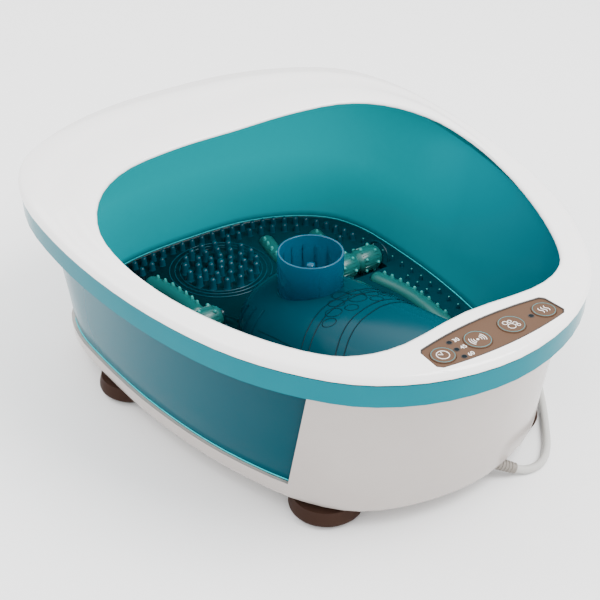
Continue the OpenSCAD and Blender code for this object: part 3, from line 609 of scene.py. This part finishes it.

# %% [markdown]
# ## Folds on the nose
# Beside the cup, three upright folds run down each flank of the arch's nose, one inside the other. They
# could be pressed into the mesh, but a raised bead of the same plastic, with a dark bead beside it as its
# painted shadow, reads the same and leaves the exact shape alone. The points are found by rays from the side.

# %% Folds on the nose
folds, grooves = [], []
fold_low, fold_tall, steps, nose_y = 33, 36, 12, 12
for side in (-1, 1):
    for step, turn in enumerate((-4, 10, 24)):
        heading = Vector((side * math.cos(math.radians(turn)), math.sin(math.radians(turn)), 0))
        points = []
        for k in range(steps + 1):
            height = fold_low + k * (fold_tall - 3 * step) / steps
            hit = arch_tree.ray_cast((Vector((0, nose_y, height)) + heading * 90) * mm, -heading)[0]
            if hit is not None:
                points.append(hit / mm - heading * 0.3)
        folds.append(wire("fold", points, 1.5))
        # The dark bead beside each fold is its painted shadow.
        grooves.append(wire("groove", [(x, y - 2.1, z) for x, y, z in points], 0.7))
finish(joined("nose_folds", folds), arch_plastic, body, ())
finish(joined("nose_grooves", grooves), line_and_shadow_teal, body, ())
print("folds", len(folds))

# %% [markdown]
# ## Rollers
# A massage roller is a string of barrels on a steel axle, with grooves between the barrels, fine ribs along
# each one and a ring of round nubs near each end. The barrels are thrown as one turned piece, whose radius
# swells and dips. One nub is modelled once and copied round the barrels. The roller is then laid on its
# side, along the axle.

# %% Rollers
nub_model = turned("roller_nub", [(1.75, 0), (1.6, 1.2), (1.45, 2.0), (1.15, 2.6), (0.7, 3.0),
                                  (0.15, 3.15)], 12)
rib_model = turned("roller_rib", [(0.32, 0), (0.42, 0.3), (0.42, 14.7), (0.32, 15)], 6)
for name in places:
    node = "roller_" + name
    low, high, middle = extent(node)
    length = high.x - low.x
    count = 3 if "heel" in name else 2
    one = length / count
    reach = (high.z - low.z) / 2
    barrel_r = reach - 1.9
    profile = [(2.3, -length / 2), (barrel_r - 2.6, -length / 2)]
    for barrel in range(count):
        for k in range(1, 12):
            s = k / 12
            dip = 2.2 * abs(2 * s - 1) ** 2.5
            profile.append((barrel_r - dip, -length / 2 + (barrel + s) * one))
        if barrel < count - 1:
            seam = -length / 2 + (barrel + 1) * one
            profile += [(barrel_r - 3, seam - 0.25), (barrel_r - 3, seam + 0.25)]
    profile += [(barrel_r - 2.6, length / 2), (2.3, length / 2)]
    barrels = turned("barrels", profile, 64)
    nub_places, rib_places = [], []
    for barrel in range(count):
        middle_z = -length / 2 + (barrel + 0.5) * one
        for end in (-1, 1):
            for k in range(6):
                spin = Matrix.Rotation(math.radians(60 * k + 15 * (end + 1)), 4, "Z")
                nub_places.append(spin @ at(barrel_r - 1.35, 0, middle_z + end * one * 0.24)
                                  @ Matrix.Rotation(math.pi / 2, 4, "Y"))
        for k in range(24):
            spin = Matrix.Rotation(math.radians(15 * k + 7.5), 4, "Z")
            rib_places.append(spin @ at(barrel_r - 0.28, 0, middle_z - 7.5))
    nubs = copies("nubs", nub_model, nub_places, keep=True)
    fins = copies("fins", rib_model, rib_places, keep=True)
    # The nubs take the paler green, a painted highlight.
    for part, material in ((barrels, milky_green), (fins, milky_green), (nubs, nub_tip_highlight)):
        part.data.materials.append(material)
    roller = joined(node + "_moulding", [barrels, nubs, fins])
    place(roller, at(*middle) @ Matrix.Rotation(math.pi / 2, 4, "Y"))
    finish(roller, None, node, [node])
    print(node, len(roller.data.polygons), "faces")
bpy.data.objects.remove(nub_model)
bpy.data.objects.remove(rib_model)

# %% [markdown]
# ## Roller hoods
# At its outer end each roller runs into a half-round hood that keeps the skin of the foot off the axle. It
# is a short arch of plastic around the barrel's end: an arc drawn as a thick bead, which is rounder and
# softer than a cut tube.

# %% Roller hoods
for name in places:
    low, high, middle = extent("tray_" + name)
    axis_z = extent("axle_" + name)[2].z
    side = -1 if "left" in name else 1
    end_x = (high.x if side > 0 else low.x) - side * 0.2
    rim_points = [(end_x, middle.y + p[0], axis_z - 2 + p[1]) for p in arc(12.4, 0, 180, 20)]
    finish(wire("hood_" + name, rim_points, 1.0), teal_painted_shade, body, ())
print("hoods", len(places))

# %% [markdown]
# ## Bubble strips
# Air rises through the milky green strips beside each foot. A strip is a low rounded bar along a bent
# line, with a row of small nubs. A curve is best here: its round bevel is squashed to the strip's height,
# the radius shrinks towards both ends so that they close softly, and the part under the floor is cut away.

# %% Bubble strips
strip_lines = {"heel_inner": [(57, 146), (52.5, 128), (50, 108), (50, 90)],
               "heel_outer": [(98, 130), (94, 117), (91, 104), (90, 91)],
               "toe_inner": [(76, 42), (79, 22), (80, 0), (79, -38)],
               "toe_outer": [(98, 43), (103, 20), (104, -6), (101, -38)]}
strip_nubs = {"heel_inner": (7, -3.2), "heel_outer": (5, 0), "toe_inner": (9, -3.2), "toe_outer": (9, 3.4)}
floor_z = extent("strip_heel_inner_right")[0].z
strip_r = 7.0
strip_top = 5.0
strip_sunk = 1.2
strip_steps = 36
end_reach = 0.85 * strip_r


def bezier_like(points, t):
    """A point on a smooth line through the given points, as a Catmull-Rom curve."""
    n = len(points) - 1
    k = min(n - 1, int(t * n))
    f = t * n - k
    p = [Vector(points[max(0, min(n, k + d))]) for d in (-1, 0, 1, 2)]
    return 0.5 * (2 * p[1] + (p[2] - p[0]) * f + (2 * p[0] - 5 * p[1] + 4 * p[2] - p[3]) * f * f
                  + (3 * p[1] - p[0] - 3 * p[2] + p[3]) * f ** 3)


strip_nub = turned("strip_nub", [(1.8, 0), (1.5, 1.6), (1.3, 2.4), (1.0, 3.0), (0.6, 3.3), (0.12, 3.45)], 12)
for kind, line in strip_lines.items():
    line = [Vector(p) for p in line]
    length = sum((b - a).length for a, b in zip(line, line[1:]))
    extended = [line[0] + (line[0] - line[1]).normalized() * end_reach] + line[1:-1]
    extended.append(line[-1] + (line[-1] - line[-2]).normalized() * end_reach)
    total = length + 2 * end_reach
    shares = [k / strip_steps for k in range(strip_steps + 1)]
    swell = [math.sqrt(max(0.02, 1 - max(0, 1 - min(t, 1 - t) * total / strip_r) ** 2)) for t in shares]
    bar = wire("strip", [(*bezier_like(extended, t), 0) for t in shares], strip_r, False, swell, 6)
    bar.data.transform(at(0, 0, floor_z - strip_sunk)
                       @ Matrix.Diagonal((1, 1, (strip_top + strip_sunk) / strip_r, 1)))
    edit_all(bar, bpy.ops.mesh.bisect, plane_co=(0, 0, (floor_z - 0.1) * mm), plane_no=(0, 0, -1),
             use_fill=True, clear_outer=True)
    count, offset = strip_nubs[kind]
    nub_places = []
    for k in range(count):
        t = 0.08 + 0.84 * k / (count - 1)
        point = bezier_like(line, t)
        ahead = (bezier_like(line, min(1, t + 0.02)) - bezier_like(line, max(0, t - 0.02))).normalized()
        beside = Vector((abs(ahead.y), -ahead.x if ahead.y >= 0 else ahead.x))
        spot = point + beside * offset
        nub_places.append(at(spot.x, spot.y, floor_z + strip_top - 1.3))
    nubs = copies("nubs", strip_nub, nub_places, keep=True)
    bar.data.materials.clear()
    bar.data.materials.append(milky_green)
    # The nubs take the paler green, a painted highlight.
    nubs.data.materials.append(nub_tip_highlight)
    right_strip = joined("strip_" + kind + "_right_moulding", [bar, nubs])
    bpy.ops.object.shade_smooth_by_angle(angle=math.radians(50))
    left_strip = twin_of(right_strip)
    left_strip.name = "strip_" + kind + "_left_moulding"
    left_strip.data.transform(Matrix.Diagonal((-1, 1, 1, 1)))
    edit_all(left_strip, bpy.ops.mesh.flip_normals)
    finish(right_strip, None, body, ["strip_" + kind + "_right"])
    finish(left_strip, None, body, ["strip_" + kind + "_left"])
    print("strip", kind, round(length), "mm,", count, "nubs")
bpy.data.objects.remove(strip_nub)

# %% [markdown]
# ## Nubs on the floor
# A cluster of tall finger-like nubs massages the sole, in rings around one larger nub. Small nubs dot the
# edge of the floor, low at the sides and taller at the heel end. Each kind is one turned model, with few
# faces because it is copied dozens of times.

# %% Nub cluster
low, high, middle = extent("nub_cluster")
cluster_x = 0.0
cluster_y = middle.y
tall = high.z - floor_z
finger = turned("finger", [(3.5, 0), (2.8, 1.2), (2.6, tall - 2.8), (2.35, tall - 1.5), (1.7, tall - 0.6),
                           (0.9, tall - 0.12), (0.2, tall)], 16)
rings = [(6, 9.5), (11, 19.5), (16, 30)]
finger_places = [at(cluster_x + p[0], cluster_y + p[1], floor_z)
                 for n, r in rings for p in arc(r, 0, 360, n)[:-1]]
fingers = copies("fingers", finger, finger_places)
thumb = turned("thumb", [(4.4, 0), (3.7, 1.4), (3.4, tall - 3), (3.0, tall - 1.6), (2.1, tall - 0.5),
                         (1.0, tall - 0.1), (0.2, tall)], 20)
thumb = place(thumb, at(cluster_x, cluster_y, floor_z))
pads = [hoop("ring", cluster_x, cluster_y, floor_z + 0.1, r, 0.5) for r in (34.5, 38.5, 43)]
finish(joined("nub_cluster_moulding", [fingers, thumb] + pads), nub_teal, body, ["nub_cluster"])
print("cluster", len(finger_places) + 1, "nubs")

# %% Edge nubs
small = turned("small_nub", [(1.7, 0), (1.4, 1.2), (1.25, 3.0), (0.95, 3.8), (0.5, 4.3), (0.1, 4.4)], 10)
taller = turned("taller_nub", [(3.1, 0), (2.6, 1.4), (2.4, 4.8), (1.9, 6.2), (1.1, 7.0), (0.2, 7.2)], 12)
small_spots = []
for k in range(15):
    y = 92 - 12.5 * k
    bulge = 1 - ((y - 40) / 150) ** 2
    small_spots.append((108 + 18 * bulge, y + 4))
    small_spots.append((99 + 18 * bulge, y - 2))
small_spots = [(x, y) for x, y in small_spots
               if x >= 121 or not (36 < y < 96 or -84 < y < -40)]
tall_spots = []
for half_w, half_l, step in ((121, 117, 9.5), (110, 106, 10.5)):
    travelled = step / 2
    last = None
    for k in range(721):
        angle = math.radians(k / 4)
        spot = Vector((math.copysign(abs(math.cos(angle)) ** 0.62, math.cos(angle)) * half_w,
                       60 + math.sin(angle) ** 0.62 * half_l))
        travelled += (spot - last).length if last else 0
        last = spot
        if travelled >= step:
            travelled = 0
            tall_spots.append((spot.x, spot.y))
tall_spots = [(x, y) for x, y in tall_spots if y > 104 and math.hypot(x, y - cluster_y) > 44]
for line in strip_lines.values():
    for t in range(11):
        p = bezier_like(line, t / 10)
        tall_spots = [s for s in tall_spots if math.hypot(abs(s[0]) - p.x, s[1] - p.y) > 11]
        small_spots = [s for s in small_spots if math.hypot(abs(s[0]) - p.x, s[1] - p.y) > 12]
small_places = [at(sx * x, y, floor_z) for x, y in small_spots for sx in (-1, 1)]
edge = [copies("low", small, small_places),
        copies("high", taller, [at(x, y, floor_z) for x, y in tall_spots])]
finish(joined("edge_nubs_moulding", edge), nub_teal, body, ["edge_nubs"])
# Painted highlight: pale caps on the tips of the small nubs.
tip = turned("tip", [(0.85, 3.9), (0.6, 4.3), (0.15, 4.5)], 8)
finish(copies("edge_nub_tip_highlights", tip, small_places), nub_tip_highlight, body, ())
print("edge nubs", len(small_places) + len(tall_spots))

# %% [markdown]
# ## Bright edges of the tub
# A clear wall gathers light along its bends and gives it off at its edges. So the step between wall and
# floor, and the line where the wall enters the base, each shine as a thin bright line. A thin bead of pale
# teal follows each one as a painted highlight. Its points are found by rays from inside or outside onto the
# tub.

# %% Bright edges
tub_tree = BVHTree.FromObject(shell_pieces["tub"], bpy.context.evaluated_depsgraph_get())


def wall_point(x, y, z, dx, dy, lift_off):
    """Where a level ray meets the tub, moved back along the ray by lift_off mm."""
    heading = Vector((dx, dy, 0)).normalized()
    hit = tub_tree.ray_cast(Vector((x, y, z)) * mm, heading)[0]
    return None if hit is None else hit / mm - heading * lift_off


step_z = floor_z + 2.6
step_line = [wall_point(70, y, step_z, 1, 0, 0.1) for y in range(-130, 60, 10)]
step_line += [wall_point(0, 70, step_z, x, y, 0.1) for x, y, z in arc(1, 0, 180, 45)]
step_line += [wall_point(-70, y, step_z, -1, 0, 0.1) for y in range(50, -140, -10)]
step_bead = wire("step_edge", [p for p in step_line if p is not None], 0.45)
base_z = 30.6
base_line = [wall_point(300 * x, 300 * y, base_z, -x, -y, 0.2) for x, y, z in arc(1, -48, 228, 92)]
base_bead = wire("base_edge", [p for p in base_line if p is not None], 0.5)
finish(joined("tub_bright_edges", [step_bead, base_bead]), painted_edge_highlight, body, ())
print("bright edges 2")

# %% [markdown]
# ## Feet
# Four round feet in a softer taupe plastic lift the base off the table. A foot is a turned piece: a rolled
# lower edge, its widest ring just above it, and a slight taper up into the base.

# %% Feet
for name in ("front_left", "front_right", "back_left", "back_right"):
    low, high, middle = extent("foot_" + name)
    radius = (high.x - low.x) / 2
    bottom, top = low.z, high.z
    foot = turned("foot_" + name + "_moulding", [
        (radius - 4.6, bottom), (radius - 2.6, bottom + 0.15), (radius - 1.1, bottom + 0.9),
        (radius - 0.35, bottom + 1.9), (radius, bottom + 3.2), (radius - 0.2, bottom + 5.5),
        (radius - 1, bottom + 8.5), (radius - 2, top)], 96)
    place(foot, at(middle.x, middle.y, 0))
    finish(foot, taupe_foot, body, ["foot_" + name])
print("feet 4")

# %% [markdown]
# ## Control panel
# The panel is a thin satin plate, let into the rim in a narrow dark gap. Its exact plate is copied and
# smoothed. Each button is a shallow disc with a printed ring and a white symbol. The symbols are the plain
# ones of any appliance: a clock, waves from a point, bubbles and rising heat. They are drawn as thin beads
# on the surface.

# %% Panel plate
low, high, middle = extent("control_panel")
panel_y, panel_z = middle.y, high.z
plate = finish(smooth_copy("control_panel_plate", "control_panel", 30), taupe_abs, body, ["control_panel"])
print("panel", round(high.x - low.x, 1), "mm wide")


# %% Buttons and symbols
def symbol_clock(x, y, z):
    hands = wire("hands", [(x - 2.2, y + 2.0, z), (x, y, z), (x + 0.6, y + 3.0, z)], 0.26)
    return [hoop("clock", x, y, z, 4.0, 0.26, 40), hands]


def symbol_waves(x, y, z):
    dot = place(turned("dot", [(0.9, 0), (0.8, 0.2), (0.3, 0.32)], 16), at(x, y, z - 0.1))
    waves = [wire("wave", [(x + p[0], y + p[1], z) for p in arc(r, a - 38, a + 38, 12)], 0.24)
             for r in (2.6, 4.1, 5.6) for a in (0, 180)]
    return [dot] + waves


def symbol_bubbles(x, y, z):
    rounds = [(-1.2, -1.8, 2.5), (2.4, -0.6, 1.4), (-2.6, 3.0, 1.7), (0.9, 2.8, 1.2), (3.2, -3.2, 1.1)]
    return [hoop("bubble", x + dx, y + dy, z, r, 0.22, 20) for dx, dy, r in rounds]


def symbol_heat(x, y, z):
    wave = [(0.75 * math.sin(t * math.pi / 4), t * 0.75 - 3) for t in range(9)]
    return [wire("heat", [(x + dx + a, y + b, z) for a, b in wave], 0.26) for dx in (-2.4, 0, 2.4)]


symbols = {"timer_button": symbol_clock, "massage_button": symbol_waves, "bubble_button": symbol_bubbles,
           "heat_button": symbol_heat}
for name, symbol in symbols.items():
    low, high, middle = extent(name)
    x, y, top = middle.x, middle.y, high.z
    radius = (high.x - low.x) / 2
    cap = turned(name + "_cap", [(radius, panel_z - 2), (radius, top - 0.5), (radius - 0.15, top - 0.2),
                                 (radius - 0.5, top - 0.06), (radius - 1.2, top - 0.05),
                                 (radius - 3, top - 0.12), (1, top - 0.2)], 72)
    stem = turned("stem", [(3, low.z), (3, panel_z - 1.9)], 24)
    cap = place(joined(name + "_cap", [cap, stem]), at(x, y, 0))
    finish(cap, taupe_abs, name, [name])
    finish(hoop(name + "_ring", x, y, top - 0.05, radius - 0.75, 0.14), ring_ink, name)
    finish(joined(name + "_symbol", symbol(x, y, top - 0.12)), print_white, name)
    print(name, round(radius * 2, 1), "mm")

# %% [markdown]
# ## Lamps and numbers
# Four small lamps sit beside the buttons, three for the minutes of the timer and one for the heat. A lamp
# is the exact tinted lens with a dark turned collar around it. The minutes are text, made a mesh before
# it is put in its place.

# %% Lamp collars and numbers
collar_model = turned("collar", [(2.0, -0.3), (2.1, 0.1), (1.95, 0.25), (1.65, 0.28), (1.45, 0.1),
                                 (1.4, -0.2)], 32)
lamp_places = [extent(name)[2].xy for name in ("timer_led_30", "timer_led_45", "timer_led_60", "heat_led")]
collars = copies("lamp_collars", collar_model, [at(x, y, panel_z) for x, y in lamp_places])
finish(collars, dark_gap, body)
numbers = []
for minutes, (x, y) in zip((30, 45, 60), lamp_places):
    bpy.ops.object.text_add()
    label = bpy.context.object
    label.data.body = str(minutes)
    label.data.size = 4.6 * mm
    label.data.extrude = 0.06 * mm
    pick(label)
    bpy.ops.object.convert(target="MESH")
    numbers.append(place(bpy.context.object, at(x + 3.0, y - 1.6, panel_z + 0.05)))
finish(joined("timer_numbers", numbers), print_white, body)
print("lamps", len(lamp_places))

# %% [markdown]
# ## Panel gap
# Where the panel drops into the rim there is a thin gap in shade. A dark bead along the plate's outline, half
# sunk in its surface, paints that shade as a line. The outline is read from the plate's own top edge.

# %% Panel gap line
plate_mesh = plate.data
beside = {}
for face in plate_mesh.polygons:
    if abs(face.normal.z) < 0.1:
        for a, b in face.edge_keys:
            if min(plate_mesh.vertices[a].co.z, plate_mesh.vertices[b].co.z) / mm > panel_z - 0.01:
                beside.setdefault(a, set()).add(b)
                beside.setdefault(b, set()).add(a)
loops = []
while beside:
    loop = [next(iter(beside))]
    while True:
        after = [v for v in beside[loop[-1]] if v not in loop]
        if not after:
            break
        loop.append(after[0])
    for v in loop:
        del beside[v]
    loops.append([plate_mesh.vertices[v].co / mm for v in loop])
outer = max(loops, key=lambda loop: max(p.x for p in loop) - min(p.x for p in loop))
gap_line = wire("panel_gap", [(p.x * 0.997, panel_y + (p.y - panel_y) * 0.985, panel_z + 0.1) for p in outer],
                0.55, closed=True)
finish(gap_line, dark_gap, body)
print("gap points", len(outer))

# %% [markdown]
# ## Cord fittings
# The sleeve that protects the cord where it leaves the base is a tapered tube with rings that let it bend.
# It is turned along its own axis and then swung to the direction in which the cord leaves. The tie is
# three flat loops round the coil. The plug is a bevelled block that narrows towards a ringed neck.

# %% Sleeve, tie and plug
exit_point = Vector(cord_route[0])
turn_z = math.radians(-27.7)
tilt = math.radians(65)
outward = Vector((math.sin(tilt) * math.cos(turn_z), math.sin(tilt) * math.sin(turn_z), -math.cos(tilt)))
sleeve_profile = [(3.15, 0), (3.9, 0.1), (4.0, 0.8)]
for k in range(6):
    start = 1.6 + k * 2.6
    wide = 4.05 + 0.08 * k
    sleeve_profile += [(wide - 0.55, start), (wide - 0.55, start + 0.8), (wide, start + 1.1),
                       (wide, start + 2.3)]
sleeve_profile += [(4.55, 18.2), (4.6, 25.6), (3.4, 26)]
sleeve = turned("cord_sleeve", sleeve_profile, 40)
place(sleeve, Matrix.Translation(exit_point * mm) @ (-outward).to_track_quat("Z", "Y").to_matrix().to_4x4())
finish(sleeve, sleeve_pvc, body, ["cord_gland"])

low, high, tie_middle = extent("cord_tie")
half = (high - low) / 2
tie_points = []
for k in range(40):
    a = 2 * math.pi * k / 40
    reach = 1 / max(abs(math.cos(a)), abs(math.sin(a))) ** 0.7
    tie_points.append((tie_middle.x + (half.x - 0.75) * math.cos(a) * reach * 0.94,
                       tie_middle.y, tie_middle.z + (half.z - 0.75) * math.sin(a) * reach * 0.94))
loops = [wire("loop", [(x, y + dy, z) for x, y, z in tie_points], 0.7, closed=True) for dy in (-1.6, 0, 1.6)]
tie = finish(joined("cord_tie_loops", loops), black_nylon, body, ["cord_tie"])

low, high, middle = extent("plug")
plug_y0, plug_y1 = low.y, high.y
plug_x, plug_z = middle.x, 8
bpy.ops.mesh.primitive_cube_add(size=1, location=(0, 0, 0))
block = bpy.context.object
block.data.transform(at(plug_x, plug_y0 + 35, plug_z) @ Matrix.Diagonal((26 * mm, 30 * mm, 14 * mm, 1)))
edit_all(block, bpy.ops.mesh.subdivide, number_cuts=2)
for vertex in block.data.vertices:
    share = (vertex.co.y / mm - plug_y0 - 20) / 30
    waist = 0.72 + 0.28 * min(1, share * 1.6)
    vertex.co.x = (plug_x + (vertex.co.x / mm - plug_x) * waist) * mm
pick(block)
bevel = block.modifiers.new("bevel", "BEVEL")
bevel.width = 2.4 * mm
bevel.segments = 4
bevel.angle_limit = math.radians(50)
bpy.ops.object.modifier_apply(modifier="bevel")
bpy.ops.object.shade_smooth_by_angle(angle=math.radians(40))
neck_profile = [(3.1, 0), (3.7, 0.2)]
for k in range(5):
    wide = 3.8 + 0.42 * k
    start = 3.4 * k
    neck_profile += [(wide - 0.5, start + 1.2), (wide - 0.5, start + 2.2), (wide, start + 2.6),
                     (wide + 0.2, start + 4)]
neck_profile += [(6, 18.6), (6, 21)]
to_y = Matrix.Rotation(-math.pi / 2, 4, "X")
neck = place(turned("neck", neck_profile, 32), at(plug_x, plug_y0, plug_z) @ to_y)
plug = finish(joined("mains_plug", [block, neck]), cord_pvc, body, ["plug"])
body_end = 50
pin_l = plug_y1 - plug_y0 - body_end
pin_profile = [(2, 0), (2, pin_l - 0.8), (1.7, pin_l - 0.2), (1.1, pin_l)]
pins = [place(turned("pin", pin_profile, 24), at(plug_x + dx, plug_y0 + body_end, plug_z) @ to_y)
        for dx in (-9.5, 9.5)]
pins = finish(joined("plug_pins", pins), drawn_steel, body, ())
curve.materials.append(cord_pvc)
finish(cord, None, body, ["cord", "cord_coil"])
print("sleeve, tie and plug")

# %% [markdown]
# ## Screws under the base
# Eight screws hold the base to the tub, seen only from below. A pan head and its shank are turned pieces.
# The cross in the head could be cut, but at this size two crossed dark bars that lie flush in the head, as
# painted shade in its recess, read the same, so one cross is made and copied.

# %% Screws
screw_z = extent("base_screws")[0].z
screw_spots = [(50, 168), (112, 122), (124, 5), (98, -90)]
head_model = turned("screw", [(1.2, 1.5), (2.9, 1.35), (3.15, 0.9), (3.2, 0.5), (2.9, 0.12), (2.2, 0.0)], 28)
bpy.ops.mesh.primitive_cube_add(size=1, location=(0, 0, 0))
slot_a = bpy.context.object
slot_a.data.transform(Matrix.Diagonal((3.4 * mm, 0.7 * mm, 0.12 * mm, 1)))
slot_b = twin_of(slot_a)
slot_b.data.transform(Matrix.Rotation(math.pi / 2, 4, "Z"))
cross_model = joined("cross", [slot_a, slot_b])
cross_model.data.transform(at(0, 0, -0.03))
spots = [at(side * x, y, screw_z) for x, y in screw_spots for side in (-1, 1)]
shank_model = turned("shank", [(1.5, 1.2), (1.5, 8.6), (0.6, 9)], 12)
heads = joined("base_screw_heads", [copies("heads", head_model, spots), copies("shanks", shank_model, spots)])
finish(heads, drawn_steel, body, ["base_screws"])
# Painted shade: dark bars where the cross recess of each head lies in shade.
finish(copies("base_screw_cross_shade", cross_model, spots), dark_gap, body)
print("screws", len(spots))

# %% [markdown]
# ## Floor and light
# The basin stands on a plain pale floor. A large panel high at the front right is the main light, and a
# wider, weaker one at the back left lifts the far rim. A pale sky fills the rest and keeps shadows soft.

# %% Stage and lights
bpy.ops.mesh.primitive_plane_add(size=8, location=(0, 0, 0))
stage = bpy.context.object
stage.name = "stage_floor"
stage.data.materials.append(plastic("matt_white_paint", "#f4f4f4", "#f1f1f1", 0.8, 20, 0.01))
world = bpy.data.worlds.new("sky")
bpy.context.scene.world = world
world.use_nodes = True
sky = world.node_tree.nodes["Background"]
sky.inputs["Color"].default_value = (1, 1, 1, 1)
sky.inputs["Strength"].default_value = 2.5


def panel_light(name, position, target, size, watts):
    light = bpy.data.lights.new(name, "AREA")
    light.size = size
    light.energy = watts
    lamp = bpy.data.objects.new(name, light)
    lamp.location = position
    lamp.rotation_euler = (Vector(target) - Vector(position)).to_track_quat("-Z", "Y").to_euler()
    bpy.context.scene.collection.objects.link(lamp)


panel_light("key_panel", (0.55, -0.75, 1.5), (-0.05, 0.12, 0.1), 0.9, 34)
panel_light("back_panel", (-0.5, 0.9, 1.5), (0, 0, 0.1), 1.2, 14)
print("lights 2")
